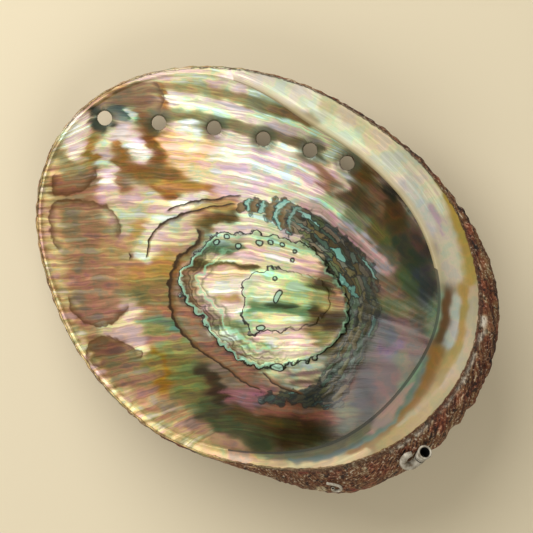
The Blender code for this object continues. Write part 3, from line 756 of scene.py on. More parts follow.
slip = lumpy(flow[on_nacre] * [1 / STREAK_SIZE[0], 1 / STREAK_SIZE[1], 1])
wander = 0.9 * np.stack([grain(spots, 3.5, 11.0), grain(spots, 3.5, 17.0)], -1)
far_right = beyond(ACROSS, FAR_RIGHT_FROM[0], 50) * beyond(DOWN, FAR_RIGHT_FROM[1], 50)
plate = broad_lip * smooth_step((sides["lip"] - IS_BROAD) / 0.5)
flow_turns = (stretches > 0) * np.exp(-(((sides["lip"] - IS_BROAD) / 0.08) ** 2))
streaked = (1 - 0.75 * far_right) * (1 - 0.65 * plate[on_nacre]) * (1 - flow_turns[on_nacre])
wander += 3.0 * (slip * streaked)[:, None] * right
paint = np.zeros((len(spots), 3))
laid = np.zeros(len(spots))
for stroke, width, line in STROKES:
    near = to_line(spots + wander, place_of(line))[0] / (width * MM_PER_PIXEL)
    share = width**-1.5 / (0.2 + near**2) ** 2
    paint += share[:, None] * linear(stroke)
    laid += share
tint = np.tile(linear("#a08c60"), (len(places), 1))
tint[on_nacre] = paint / laid[:, None]
# Painted light and shade: the nacre's colour is painted brighter to the left and darker to the
# right and down the view, towards the spire, set to one level on the plate, made brighter inside
# the muscle scar, and given more painted shade at the lower right.
painted_shading = ((pixels - KNOWN_PIXEL) * MM_PER_PIXEL) @ PAINTED_SHADE_SLOPE
painted_shading = np.where(painted_shading > 0, SHADED_SLOPE * painted_shading, painted_shading)
painted_light = np.clip(np.exp(-painted_shading), DARKEST, MOST_PAINTED_LIGHT)
painted_light += (PLATE_SHADE - painted_light) * plate[on_nacre]
painted_light *= 1 + SCAR_GLOW * smooth_step(scar[on_nacre] / 2)
low_right = beyond(ACROSS, LOW_RIGHT_FROM[0], 30) * beyond(DOWN, LOW_RIGHT_FROM[1], 30)
low_right *= 1 - plate[on_nacre]
tint[on_nacre] *= painted_light[:, None] * (1 - low_right[:, None] * LOW_RIGHT_SHADE)

# Relief of the nacre: raised scars with lumpy edges, beads along the repair, soft ridges that
# follow the cords of the outside, funnels at the holes and flutes along the thin outer lip.
OPEN_HOLES = np.array(
    [(-68.4, 14.4), (-53.4, 22.6), (-37.8, 30.9), (-22.8, 36.6), (-8.2, 41.7), (4.0, 44.6)]
)
SEALED_HOLES = np.array([
    (15.5, 46.0), (26.5, 45.0), (37.0, 42.0), (47.0, 37.5), (55.5, 30.5),
    (61.5, 21.5), (64.5, 11.5), (65.0, 1.0), (62.5, -9.0),
])  # fmt: skip
SCAR_RISE, SCAR_BORDER, YOUNG_RISE, BEAD_RISE = 0.45, 0.30, 0.25, 0.22
RIDGE_RISE, SWELL_RISE = 0.20, 0.35
RIDGE_SIZE = (22, 2.6)  # along and across the flow
BEAD_SIZE = (2.6, 1.1)  # along and across the repair
FUNNEL_DEPTH = 0.7
FUNNEL_WIDTH = 3.6
FLUTE_SPACING = 2.7
FLUTE_DEPTH = 0.20
FLUTE_REACH = 3.5
FLUTE_SHADE_REACH = 4.5
FLUTES_FROM_ROW = 150
STREAM_WIDTH = 68.0  # turns a cord's angle into about millimetres along the shell's edge
STREAM_LENGTH = 3.7

growth_flow = [STREAM_WIDTH * np.cos(cord), STREAM_WIDTH * np.sin(cord), STREAM_LENGTH * age]
flow[~lined] = np.stack(growth_flow, -1)[~lined]


def hole_distance(holes):
    return np.min([np.hypot(*(plan - hole).T) for hole in holes], 0)


rise = np.zeros(len(places))
ridges = lumpy(flow[on_nacre] * [1 / RIDGE_SIZE[0], 1 / RIDGE_SIZE[1], 1])
swells = grain(spots, 7.0, 23.0)
nearest_hole = hole_distance(OPEN_HOLES)
beads = grain(np.stack([run, off_line], -1)[on_nacre] / BEAD_SIZE, 1.0, 5.0)
lined_rise = SCAR_RISE * smooth_step((scar[on_nacre] + 0.5) / 1.2)
lined_rise += SCAR_BORDER * np.exp(-(((scar[on_nacre] - 0.7) / 0.8) ** 2)) * (0.6 + fine)
lined_rise += YOUNG_RISE * smooth_step((young[on_nacre] + 0.4) / 0.9)
lined_rise += BEAD_RISE * smooth_step((repair[on_nacre] + 0.4) / 1.4) * (0.5 + beads)
lined_rise += (RIDGE_RISE * ridges + SWELL_RISE * swells) * smooth_step(to_rim[on_nacre] / 6)
lined_rise -= FUNNEL_DEPTH * np.exp(-((nearest_hole[on_nacre] / FUNNEL_WIDTH) ** 2))
thin = 1 - sides["lip"][on_nacre]
left_side = beyond(DOWN, FLUTES_FROM_ROW, 40)
wave = np.cos(2 * np.pi * flow[on_nacre, 1] / FLUTE_SPACING + 2.5 * coarse)
flute = wave * np.exp(-to_rim[on_nacre] / FLUTE_REACH) * left_side
lined_rise += FLUTE_DEPTH * thin * flute
# Painted shade and highlight along the flutes: their troughs are painted darker and their crests lighter.
flute_shading = wave * np.exp(-to_rim[on_nacre] / FLUTE_SHADE_REACH) * left_side * thin
tint[on_nacre] *= (1 + np.where(flute_shading < 0, 0.5, 0.15) * flute_shading)[:, None]
rise[on_nacre] = np.where(in_bowl[on_nacre], lined_rise, 0.3 * FLUTE_DEPTH * thin * flute)

# Relief of the outside: growth waves, cords, the seam between the whorls, a chimney round each open
# hole, a knob on each sealed one, and a rough crust that grows in nodules towards the edge.
SUTURE_RADIUS = 21.0
SUTURE_START = np.radians(-128.0)
WHORL_GROWTH = 7.0
SUTURE_DEPTH = 2.0
SUTURE_WIDTH = 1.9
SUTURE_TURNS = 2
SUTURE_RUN_OUT = 0.5
GROWTH_WAVES = 8
GROWTH_RELIEF = 0.6
CORD_COUNT = 40
CORD_RELIEF = 0.4
RELIEF_REACH = 55.0
EDGE_FADE = 0.06
REST_RADIUS = 11.0
HOLE_CLEARING = 6.5
FINE_CORDS = 150
CHIMNEY_HEIGHT = 1.8
CHIMNEY_RADII = (5.4, 3.7)
KNOB_RADIUS = 3.7
KNOB_SHRINK = 0.065
KNOB_HEIGHT = 1.4
FINE_CORD_RELIEF, CRUST_RELIEF, NODULE_RELIEF = 0.10, 0.28, 0.9
NODULE_SIZE = 2.4
NODULE_REACH = 14

on_crust = np.flatnonzero(crusted)
outside = plan[on_crust]
away = outside - SPIRE
from_spire = np.maximum(np.hypot(*away.T), 0.1)
behind = (np.arctan2(away[:, 1], away[:, 0]) - SUTURE_START) % (2 * np.pi) - 2 * np.pi
whorl_seam = np.zeros(len(outside))
for lap in range(SUTURE_TURNS):
    turned = behind - 2 * np.pi * lap
    radius = SUTURE_RADIUS * np.exp(np.log(WHORL_GROWTH) / (2 * np.pi) * turned)
    size = np.sqrt(radius / SUTURE_RADIUS)
    groove = np.exp(-(((from_spire - radius) / (SUTURE_WIDTH * size)) ** 2))
    whorl_seam += SUTURE_DEPTH * smooth_step(-turned / SUTURE_RUN_OUT) * size * groove
reach = from_spire / RELIEF_REACH
growth = np.cos(2 * np.pi * GROWTH_WAVES * (1 - np.exp(-age[on_crust])))
cords = np.cos(CORD_COUNT * cord[on_crust])
fade = smooth_step(age[on_crust] / EDGE_FADE) * smooth_step(reach)
rest_fade = 1 - np.exp(-((outside - POLE) ** 2).sum(-1) / REST_RADIUS**2)
fade *= rest_fade
for hole in np.vstack([OPEN_HOLES, SEALED_HOLES]):
    fade *= 1 - np.exp(-((outside - hole) ** 2).sum(-1) / HOLE_CLEARING**2)
crust = np.array([noise.fractal(Vector(p) / 3.0, 0.9, 2.1, 5) for p in places[on_crust]])
cords_fine = np.cos(FINE_CORDS * cord[on_crust] + 2 * crust)
outside_rise = fade * (GROWTH_RELIEF * growth + CORD_RELIEF * cords * smooth_step(2 * reach - 0.8))
finest = FINE_CORD_RELIEF * cords_fine + CRUST_RELIEF * crust
outside_rise += rest_fade * smooth_step(reach) * finest - whorl_seam
foot, lip_radius = CHIMNEY_RADII
chimney = np.clip((foot - nearest_hole[on_crust]) / (foot - lip_radius), 0, 1)
outside_rise += CHIMNEY_HEIGHT * smooth_step(chimney)
for order, hole in enumerate(SEALED_HOLES):
    size = 1 - KNOB_SHRINK * order
    inside = 1 - ((outside - hole) ** 2).sum(-1) / (KNOB_RADIUS * size) ** 2
    outside_rise += KNOB_HEIGHT * np.sqrt(np.clip(inside, 0, 1))
nodules = lumpy(places[on_crust], NODULE_SIZE)
by_edge = np.exp(-to_rim[on_crust] / NODULE_REACH) * sides["lip"][on_crust]
outside_rise += by_edge * (NODULE_RELIEF * nodules - 0.35) * smooth_step(to_rim[on_crust] / 2)
rise[on_crust] = outside_rise

raised = places + normals * rise[:, None]
raised[:, 2] = np.maximum(raised[:, 2] - LOWERED, 0)

# The six open breathing holes go straight down through the wall. Their mouths are rounded off, as
# the nacre lines them.
HOLE_RADIUS = 2.35
MOUTH = [(0.35, 0.0), (0.10, 0.18), (0.0, 0.5)]  # how much wider than the hole, and how deep

mesh = bpy.data.meshes.new("abalone_shell")
mesh.from_pydata(raised.tolist(), [], [tuple(int(i) for i in f) for f in faces])
bm = bmesh.new()
bm.from_mesh(mesh)
source = bm.verts.layers.int.new("source")
for vertex in bm.verts:
    vertex[source] = vertex.index
bm.normal_update()
for hole in OPEN_HOLES:
    centre = Vector(hole)
    widest = HOLE_RADIUS + MOUTH[0][0]
    doomed = [v for v in bm.verts if (v.co.xy - centre).length < widest]
    bmesh.ops.delete(bm, geom=doomed, context="VERTS")
    rims = [e for e in bm.edges if e.is_boundary]
    ends = []
    mouths = [[e for e in rims if side[e.verts[0][source]]] for side in (lined, crusted)]
    for facing, mouth in zip((-1, 1), mouths):
        for vertex in {v for e in mouth for v in e.verts}:
            off = vertex.co.xy - centre
            step = off.normalized() * widest - off
            normal = vertex.normal
            slope = (normal.x * step.x + normal.y * step.y) / max(abs(normal.z), 0.35)
            vertex.co += Vector((step.x, step.y, -slope * np.sign(normal.z)))
        for (_, last), (wider, deep) in zip(MOUTH, MOUTH[1:]):
            made = bmesh.ops.extrude_edge_only(bm, edges=mouth)["geom"]
            mouth = [g for g in made if isinstance(g, bmesh.types.BMEdge)]
            for vertex in {v for e in mouth for v in e.verts}:
                off = (vertex.co.xy - centre).normalized() * (HOLE_RADIUS + wider)
                height = vertex.co.z + facing * (deep - last)
                vertex.co = Vector((centre.x + off.x, centre.y + off.y, height))
        ends += mouth
    bmesh.ops.bridge_loops(bm, edges=ends)
bmesh.ops.triangulate(bm, faces=[f for f in bm.faces if len(f.verts) > 4])
bmesh.ops.recalc_face_normals(bm, faces=bm.faces)
bmesh.ops.scale(bm, vec=Vector((MM, MM, MM)), verts=bm.verts)
taken = np.array([v[source] for v in bm.verts])
bm.to_mesh(mesh)
bm.free()
mesh.shade_smooth()
shell = put("abalone_shell", mesh)

# What shows of the crust in the photograph: a chalky strip beside the nacre, limy spots and red
# weed. They are thin growth on the calcite, so they are colour and have no shape of their own.
CRUST_STROKES = [
    ("#dcd2c0", 6, [(483, 320), (482, 333), (474, 352), (463, 376), (448, 398), (431, 417),
                    (411, 437), (393, 448)]),
    ("#d4ccbc", 6, [(409, 432), (402, 439)]),
    ("#f0e4bc", 4.5, [(362, 469), (363, 470)]),
    ("#e4d8b4", 3.4, [(321, 476), (321, 477)]),
    ("#e4d8b4", 3.4, [(324, 489), (324, 490)]),
    ("#e4d8b4", 3.0, [(318, 489), (318, 490)]),
    ("#e4d8b4", 3.0, [(355, 467), (355, 468)]),
    ("#e4b498", 5, [(384, 440), (387, 438)]),
    ("#7c3428", 4, [(353, 491), (360, 489), (368, 486)]),
    ("#8c3422", 4, [(284, 470), (300, 473), (318, 470)]),
    ("#30181a", 4, [(345, 464), (365, 455), (384, 448)]),
]  # fmt: skip
STRIP_DEPTH = 3
WORN_WIDTH = 1.6
SCAR_MIDDLE = [268, 300]
SCAR_SHADES_FROM = (-0.85, 0.53)
NOSE_LINE_FROM_ROW = 230
LIP_LINE_UP_TO_ROW = 300
YOUNG_LINE_UP_TO_COLUMN = 305

upper = np.flatnonzero(crusted & (normals[:, 2] > -0.2))
under_edge = (sides["body_height"] - places[:, 2])[upper]
broken = lumpy(places[upper], 2.2)
kept = smooth_step(1 / 3 - under_edge / STRIP_DEPTH) * smooth_step(0.75 + 2 * broken)
crust_share = np.zeros(len(places))
for stroke, width, line in CRUST_STROKES:
    shift = 0.5 * np.stack([grain(seen[upper], 1.5, 51.0), grain(seen[upper], 1.5, 57.0)], -1)
    near = to_line(seen[upper] + shift, place_of(line))[0] / (width * MM_PER_PIXEL)
    share = smooth_step(1.6 - 1.4 * near) * kept
    tint[upper] += share[:, None] * (linear(stroke) - tint[upper])
    crust_share[upper] = np.maximum(crust_share[upper], share)
shares = field(streaked, 0.0) + crust_share

worn_edge = np.zeros(len(places))
worn_edge[crusted] = 1.0 + WORN_WIDTH * grain(plan[crusted], 11.0, 41.0)
from_rim = np.hypot(to_rim, np.maximum(sides["rim_height"] - places[:, 2], 0))
past_rim = np.maximum(from_rim, 0.01) - np.maximum(worn_edge, 0.3) * (1 - sides["lip"])
past_rim = np.where(crusted, past_rim, -to_rim)
nose_gap = np.where(stretches == list(RINGS).index(lip_nose), (ring_shares - 1) * sides["nose"], FAR)
nose_gap[on_lip] = from_lip_edge[on_lip]
nose_gap[sides["lip"] < 0.2] = FAR
nose_gap += FAR * field(1 - beyond(DOWN, NOSE_LINE_FROM_ROW, 40), 0.0)
lip_line = broad_lip * field(beyond(DOWN, LIP_LINE_UP_TO_ROW, -30), 0.0)
from_scar = pixels - SCAR_MIDDLE
toward = (from_scar * SCAR_SHADES_FROM).sum(-1) / np.hypot(*from_scar.T)
# The side of the scar towards SCAR_SHADES_FROM, on which its rims take painted highlights and its dark
# bands show.
banded = field(smooth_step(0.35 + 0.9 * toward), 0.0)
young_lined = field(0.35 + 0.65 * beyond(ACROSS, YOUNG_LINE_UP_TO_COLUMN, -30), 0.0)
gaps, shown = zip(*seams)
fields = {
    "flow": flow,
    "scars": np.stack([scar, young, repair], -1),
    "stains": np.stack([stain, stain_edge, nearest_hole - HOLE_RADIUS], -1),
    "pits": np.stack([pit, run, off_line], -1),
    "seams": np.stack(gaps[:3], -1),
    "seams_shown": np.stack(shown[:3], -1),
    "more_seams": np.stack([gaps[3], gaps[4], banded], -1),
    "more_seams_shown": np.stack([shown[3], shown[4], shares], -1),
    "lip": np.stack([past_rim, from_lip_edge, lip_line], -1),
    "nose": np.stack([nose_gap, plate, young_lined], -1),
    "tint": tint,
}
for name, values in fields.items():
    layer = mesh.attributes.new(name, "FLOAT_VECTOR", "POINT")
    layer.data.foreach_set("vector", values[taken].astype(np.float32).ravel())


# Nacre is aragonite in clear layers half a micrometre thick, which mirror the light in colours, so
# it is partly metallic and smooth. The crust outside is dull calcite with worms and weed on it.
def add(tree, kind, settings=None, stops=None, **links):
    """Adds a node and sets or links its sockets, which are named, or numbered as in _0.

    A word in place of the settings is the node's operation, and a node that is linked gives its
    first output. The stops of a ramp are grey levels or colours.
    """
    node = tree.nodes.new("ShaderNode" + kind)
    if isinstance(settings, str):
        settings = {"operation": settings}
    for name, value in (settings or {}).items():
        setattr(node, name, value)
    if stops:
        while len(node.color_ramp.elements) < len(stops):
            node.color_ramp.elements.new(0.5)
        for element, (place, value) in zip(node.color_ramp.elements, stops):
            element.position = place
            element.color = (*(linear(value) if isinstance(value, str) else [value] * 3), 1)
    for name, value in links.items():
        socket = node.inputs[int(name[1:])] if name[0] == "_" else node.inputs[name.replace("_", " ")]
        if isinstance(value, bpy.types.Node):
            value = value.outputs[0]
        if isinstance(value, bpy.types.NodeSocket):
            tree.links.new(value, socket)
        elif isinstance(value, str):
            socket.default_value = (*linear(value), 1)
        else:
            socket.default_value = value
    return node


def new_material(name):
    """A new material with its node tree and shader."""
    made = bpy.data.materials.new(name)
    made.use_nodes = True
    return made, made.node_tree, made.node_tree.nodes["Principled BSDF"]


IN_COLOUR = {"data_type": "RGBA"}  # what makes a mix one of colours
NACRE_METAL, PLATE_METAL, CRUST_METAL = 0.18, 0.10, 0.0
NACRE_DULL, PLATE_DULL, NOSE_DULL, CRUST_DULL = 0.36, 0.43, 0.8, 0.88
NACRE_IOR = 1.53
BUMP = 0.25 * MM
SWIRL = (0, 1.5, 0)
SWIRLS_PER_METRE = 150.0

nacre, tree, shader = new_material("nacre_and_crust")
read = {}
for name in fields:
    whole = add(tree, "Attribute", {"attribute_name": name}).outputs["Vector"]
    read[name] = [whole, *add(tree, "SeparateXYZ", _0=whole).outputs]
position = add(tree, "TexCoord").outputs["Object"]

swirl = add(tree, "TexNoise", Vector=position, Scale=SWIRLS_PER_METRE, Detail=2.0)
swirl = swirl.outputs["Color"]
wavy = add(tree, "VectorMath", "MULTIPLY_ADD", _0=swirl, _1=SWIRL, _2=read["flow"][0])
GRAINS = {  # the size in millimetres of each grain's lumps, along and across the flow or all round
    "threads": (wavy, (12, 0.8, 1), 3),
    "ribbons": (wavy, (26, 2.4, 1), 2),
    "laminae": (read["flow"][0], (8, 8, 0.10), 5),
    "clouds": (position, (6 * MM,) * 3, 4),
    "lumps": (position, (2.0 * MM,) * 3, 2),
    "grit": (position, (0.8 * MM,) * 3, 4),
}
grains = {}
for name, (source_of, size, detail) in GRAINS.items():
    scaled = add(tree, "VectorMath", "DIVIDE", _0=source_of, _1=size)
    grains[name] = add(tree, "TexNoise", Vector=scaled, Scale=1.0, Detail=detail, Roughness=0.6)

SHEEN = [
    (0.26, "#8a6f90"), (0.35, "#c4808c"), (0.43, "#d4ac84"), (0.50, "#b8a868"), (0.57, "#84a06c"),
    (0.65, "#4f9484"), (0.74, "#5a7c98"),
]  # fmt: skip
PASTEL = [
    (0.30, "#e8c8f4"), (0.40, "#ffc8dc"), (0.47, "#fff0e0"), (0.53, "#fff6c0"), (0.60, "#bcf4c8"),
    (0.68, "#b4e4f4"),
]  # fmt: skip
streaks = read["more_seams_shown"][3]
fine_share = add(tree, "Math", "MULTIPLY", _0=streaks, _1=0.3)
half_streaks = add(tree, "Math", "MULTIPLY", _0=streaks, _1=0.5)
drift = add(tree, "Mix", _0=half_streaks, _2=grains["clouds"], _3=grains["ribbons"])
hue = add(tree, "MapRange", _0=drift, _1=0.36, _2=0.64, _3=0.22, _4=0.78)
sheen = add(tree, "ValToRGB", stops=SHEEN, _0=hue)
pastel = add(tree, "ValToRGB", stops=PASTEL, _0=hue)
lightness = add(tree, "RGBToBW", _0=read["tint"][0])
on_plate = read["nose"][2]
sheen_share = add(tree, "MapRange", _0=on_plate, _3=0.45, _4=0.2)
palest = add(tree, "MapRange", _0=on_plate, _3=0.55, _4=0.18)
pale = add(tree, "MapRange", _0=lightness, _1=0.35, _2=0.8, _4=palest)
thready = add(tree, "MapRange", _0=grains["threads"], _1=0.3, _2=0.7, _3=0.75, _4=1.28)
banding = add(tree, "MapRange", _0=grains["ribbons"], _1=0.35, _2=0.65, _3=0.68, _4=1.3)
middle = add(tree, "Math", "SUBTRACT", _0=grains["ribbons"], _1=0.5)
middle = add(tree, "Math", "ABSOLUTE", _0=middle)
CONTOUR = [(0.0, "#6a5836"), (0.025, "#8a7850"), (0.06, "#ffffff")]
contour = add(tree, "ValToRGB", stops=CONTOUR, _0=middle)
colour = read["tint"][0]
for blend, share, over in (
    ("OVERLAY", sheen_share, sheen),
    ("MIX", pale, pastel),
    ("MULTIPLY", streaks, thready),
    ("MULTIPLY", streaks, banding),
    ("MULTIPLY", fine_share, contour),
):
    settings = {**IN_COLOUR, "blend_type": blend}
    colour = add(tree, "Mix", settings, _0=share, _6=colour, _7=over).outputs[2]

# The outlines of scars, stains and pits are scalloped, as the nacre closes over them in round lobes
# of one to three millimetres.
LOBES = ((2.9, -1.7), (1.2, -0.35))  # the size of each kind in millimetres, and how far it bulges
LOBE_MIDDLE = 0.55
lobes = grains["lumps"]
for size, swing in LOBES:
    scaled = add(tree, "VectorMath", "DIVIDE", _0=position, _1=(size * MM,) * 3)
    lobe = add(tree, "TexVoronoi", Vector=scaled, Scale=1.0).outputs["Distance"]
    lobes = add(tree, "Math", "MULTIPLY_ADD", _0=lobe, _1=swing, _2=lobes)
SCALLOPS = {  # each outline's distance, and how far in millimetres the lobes move it
    "scar": (read["scars"][1], 1.4),
    "young": (read["scars"][2], 1.2),
    "repair": (read["scars"][3], 1.8),
    "stain": (read["stains"][1], 0.8),
    "pit": (read["pits"][1], 0.3),
}
wandering = {}
for name, (distance, swing) in SCALLOPS.items():
    off = add(tree, "Math", "ADD", _0=lobes, _1=LOBE_MIDDLE)
    wandering[name] = add(tree, "Math", "MULTIPLY_ADD", _0=off, _1=swing, _2=distance)

# The repair is a band of overlapping scales of nacre and dark skin, which the animal laid in strands
# over a wound. It is darkest along its outer side.
SCALE_LENGTH, SCALE_WIDTH = 4.6, 1.35
SCALE_BOW = -0.14
WARP = (2.2, 2.2, 0)
WARPS_PER_METRE = 300.0
along_band, off_band = read["pits"][2:4]
cell_place = add(tree, "CombineXYZ", _0=along_band, _1=off_band)
cell_place = add(tree, "VectorMath", "DIVIDE", _0=cell_place, _1=(SCALE_LENGTH, SCALE_WIDTH, 1))
warp = add(tree, "TexNoise", Vector=position, Scale=WARPS_PER_METRE, Detail=3.0).outputs["Color"]
cell_place = add(tree, "VectorMath", "MULTIPLY_ADD", _0=warp, _1=WARP, _2=cell_place)
cells = add(tree, "TexVoronoi", Vector=cell_place, Scale=1.0)
cell_edge = add(tree, "TexVoronoi", {"feature": "DISTANCE_TO_EDGE"}, Vector=cell_place, Scale=1.0)
pick = add(tree, "SeparateXYZ", _0=cells.outputs["Color"])
tip = add(tree, "MapRange", _0=along_band, _1=4.0, _2=26.0, _3=0.3, _4=0.0)
pick = add(tree, "Math", "ADD", _0=pick, _1=tip)
SCALES = [
    (0.0, "#1c2216"), (0.2, "#4a3c18"), (0.38, "#6c5c30"), (0.52, "#54643c"), (0.66, "#3a5448"),
    (0.78, "#7c6a54"), (0.90, "#487468"), (0.97, "#74b0a0"), (1.0, "#a0d8c8"),
]  # fmt: skip
scale_colour = add(tree, "ValToRGB", stops=SCALES, _0=pick)
cell_gap = add(tree, "ValToRGB", stops=[(0.03, 0.08), (0.13, 1.0)], _0=cell_edge)
shade = add(tree, "MapRange", _0=off_band, _1=-3.0, _2=3.5, _3=1.3, _4=0.6)
CRESCENTS = [
    (0.0, "#0e120e"), (0.07, "#70b0a4"), (0.22, "#a4d0c0"), (0.34, "#4c6c58"), (0.5, "#64481c"),
    (0.82, "#86704a"), (0.94, "#38382c"), (1.0, "#0e120e"),
]  # fmt: skip
off_squared = add(tree, "Math", "POWER", _0=off_band, _1=2.0)
bowed = add(tree, "Math", "MULTIPLY_ADD", _0=off_squared, _1=SCALE_BOW, _2=along_band)
bowed = add(tree, "Math", "MULTIPLY_ADD", _0=grains["lumps"], _1=4.0, _2=bowed)
bowed = add(tree, "Math", "DIVIDE", _0=bowed, _1=SCALE_LENGTH)
bowed = add(tree, "Math", "FRACT", _0=bowed)
crescent = add(tree, "ValToRGB", stops=CRESCENTS, _0=bowed)
at_tip = add(tree, "MapRange", _0=along_band, _1=15.0, _2=21.0, _3=1.0, _4=0.0)
for over in (cell_gap, shade):
    settings = {**IN_COLOUR, "blend_type": "MULTIPLY"}
    scale_colour = add(tree, "Mix", settings, _0=0.95, _6=scale_colour, _7=over).outputs[2]
scale_colour = add(tree, "Mix", IN_COLOUR, _0=at_tip, _6=scale_colour, _7=crescent).outputs[2]
at_end = add(tree, "MapRange", _0=along_band, _1=80.0, _2=90.0, _4=0.65)
scale_colour = add(tree, "Mix", IN_COLOUR, _0=at_end, _6=scale_colour, _7="#1c2c30").outputs[2]
BAND_LENGTH = 100.0
LASTING = [(0.36, 1.0), (0.56, 0.6), (0.76, 0.6), (0.84, 0.95)]
how_far = add(tree, "MapRange", _0=along_band, _2=BAND_LENGTH)
lasting = add(tree, "ValToRGB", stops=LASTING, _0=how_far)

# Scars, seams, stains and pits are dark skin and thin nacre between the layers; the pale teal rims
# just inside the scars' outlines are painted highlights on their raised edges, the grey-green in and
# around the holes is partly painted shade in their funnels, and the dark line on the plate's inner
# edge is painted shade where it curls under. Each mark is a colour laid on by a distance in
# millimetres, as full as its profile says there.
seam_reads = [(read["seams"][k], read["seams_shown"][k]) for k in (1, 2, 3)]
seam_reads += [(read["more_seams"][k], read["more_seams_shown"][k]) for k in (1, 2)]
everywhere = add(tree, "Value")
everywhere.outputs[0].default_value = 1.0
west = read["more_seams"][3]
scar_edge, young_edge = wandering["scar"], wandering["young"]
young_shown = read["nose"][3]
SCAR_BANDS = [(1.0, 0), (1.4, 0.8), (2.1, 0.45), (2.7, 0.85), (3.3, 0.2), (4.2, 0.7), (5.2, 0)]
MARKS = [
    ("#5c3812", wandering["stain"], [(-0.4, 0), (0.1, 0.85), (0.8, 0.6), (2.6, 0)], read["stains"][2]),
    ("#14110a", scar_edge, [(-1.6, 0), (-0.5, 0.5), (0.0, 0)], west),
    ("#33270c", scar_edge, SCAR_BANDS, west),
    ("#a4e4b4", scar_edge, [(5.0, 0), (5.5, 0.8), (6.1, 0)], west),
    ("#5c6838", scar_edge, [(6.1, 0), (6.9, 0.7), (8.0, 0)], west),
    # Painted highlights on the scar's raised edge: this rim on its west side, the next all round.
    ("#88ccbc", scar_edge, [(0.1, 0), (0.45, 0.8), (0.8, 0.6), (1.2, 0)], west),
    ("#8cbc94", scar_edge, [(0.0, 0), (0.6, 0.6), (1.4, 0)], everywhere),
    ("#0a0d08", scar_edge, [(-0.4, 0), (-0.1, 0.95), (0.15, 0.95), (0.4, 0)], everywhere),
    # Painted highlight on the young scar's raised edge, on its west side.
    ("#a0d4a0", young_edge, [(0.1, 0), (0.7, 0.7), (1.7, 0)], west),
    ("#141008", young_edge, [(-0.4, 0), (-0.15, 0.95), (0.15, 0.95), (0.4, 0)], young_shown),
    (scale_colour, wandering["repair"], [(-0.1, 0), (0.3, 0.95), (9.0, 0.95)], lasting),
    ("#0c100c", wandering["repair"], [(-0.4, 0), (0.0, 0.8), (0.35, 0)], lasting),
    ("#a8d4bc", wandering["pit"], [(0.0, 0), (0.3, 0.85), (3.0, 0.85)], everywhere),
    ("#100e08", wandering["pit"], [(-0.35, 0), (-0.1, 0.95), (0.1, 0.95), (0.3, 0)], everywhere),
]
for straight, shows in seam_reads:  # these distances are in shares of the line's own width
    gap = add(tree, "Math", "MULTIPLY_ADD", _0=lobes, _1=1.0, _2=straight)
    gap = add(tree, "Math", "ADD", _0=gap, _1=0.55)
    MARKS.append(("#74481a", gap, [(-1.3, 0), (-0.9, 0.8), (0.6, 0.6), (1.6, 0)], shows))
    MARKS.append(("#2a1a08", gap, [(-1.5, 0), (-1.1, 0.92), (-0.5, 0.85), (0.3, 0)], shows))
MARKS += [
    # Partly painted shade: grey-green in the holes and their funnels, fading out round them.
    ("#4c5644", read["stains"][3], [(-4.0, 0.9), (0.4, 0.75), (1.3, 0.55), (2.8, 0)], everywhere),
    ("#b0a078", read["lip"][2], [(-0.1, 0.8), (0.7, 0.7), (1.3, 0.4), (2.0, 0)], read["lip"][3]),
    # Painted shade: the dark line on the plate's inner edge, where it curls under.
    ("#20241c", read["nose"][1], [(-1.7, 0), (-1.0, 0.75), (0.1, 0.8), (0.4, 0)], everywhere),
]
for mark, distance, profile, shows in MARKS:
    first, last = profile[0][0], profile[-1][0]
    placed = add(tree, "MapRange", _0=distance, _1=first, _2=last)
    stops = [((at - first) / (last - first), share) for at, share in profile]
    share = add(tree, "ValToRGB", stops=stops, _0=placed)
    share = add(tree, "Math", "MULTIPLY", _0=share, _1=shows)
    colour = add(tree, "Mix", IN_COLOUR, _0=share, _6=colour, _7=mark).outputs[2]

# The crust is dull calcite that weed and lime have grown on: red-brown in growth lines, with grey
# and white flecks. The crust's strokes above are laid over it where the photograph shows it.
CRUST = [
    (0.32, "#180e08"), (0.42, "#40200f"), (0.50, "#643a20"), (0.58, "#7a5230"), (0.67, "#8c6e4a"),
    (0.77, "#d0c2a4"),
]  # fmt: skip
weed = add(tree, "Mix", _0=0.35, _2=grains["laminae"], _3=grains["grit"])
weed = add(tree, "MapRange", _0=weed, _1=0.34, _2=0.66, _3=0.26, _4=0.80)
crust_colour = add(tree, "ValToRGB", stops=CRUST, _0=weed)
for blend, lumps, first, last, most, over in (
    ("MIX", "grit", 0.58, 0.66, 0.75, "#c8bca4"),  # white flecks
    # Painted shade in the gaps between the crust's scales:
    ("MIX", "lumps", 0.42, 0.34, 0.85, "#120a06"),  # dark gaps between scales
    ("OVERLAY", "clouds", 0.5, 0.62, 0.55, "#b04a24"),  # rusty patches
):
    share = add(tree, "MapRange", _0=grains[lumps], _1=first, _2=last, _4=most)
    settings = {**IN_COLOUR, "blend_type": blend}
    crust_colour = add(tree, "Mix", settings, _0=share, _6=crust_colour, _7=over).outputs[2]
painted = add(tree, "MapRange", _0=weed, _1=0.42, _2=0.58, _3=0.2, _4=1.0)
painted = add(tree, "Math", "MULTIPLY", _0=painted, _1=streaks)
tints = read["tint"][0]
crust_colour = add(tree, "Mix", IN_COLOUR, _0=painted, _6=crust_colour, _7=tints).outputs[2]
ragged = add(tree, "Math", "ADD", _0=read["lip"][1], _1=grains["lumps"])
is_crust = add(tree, "MapRange", _0=ragged, _1=0.05, _2=0.25)
colour = add(tree, "Mix", IN_COLOUR, _0=is_crust, _6=colour, _7=crust_colour).outputs[2]
tree.links.new(colour, shader.inputs["Base Color"])
metal = add(tree, "MapRange", _0=on_plate, _3=NACRE_METAL, _4=PLATE_METAL)
metal = add(tree, "MapRange", _0=is_crust, _3=metal, _4=CRUST_METAL)
tree.links.new(metal.outputs[0], shader.inputs["Metallic"])
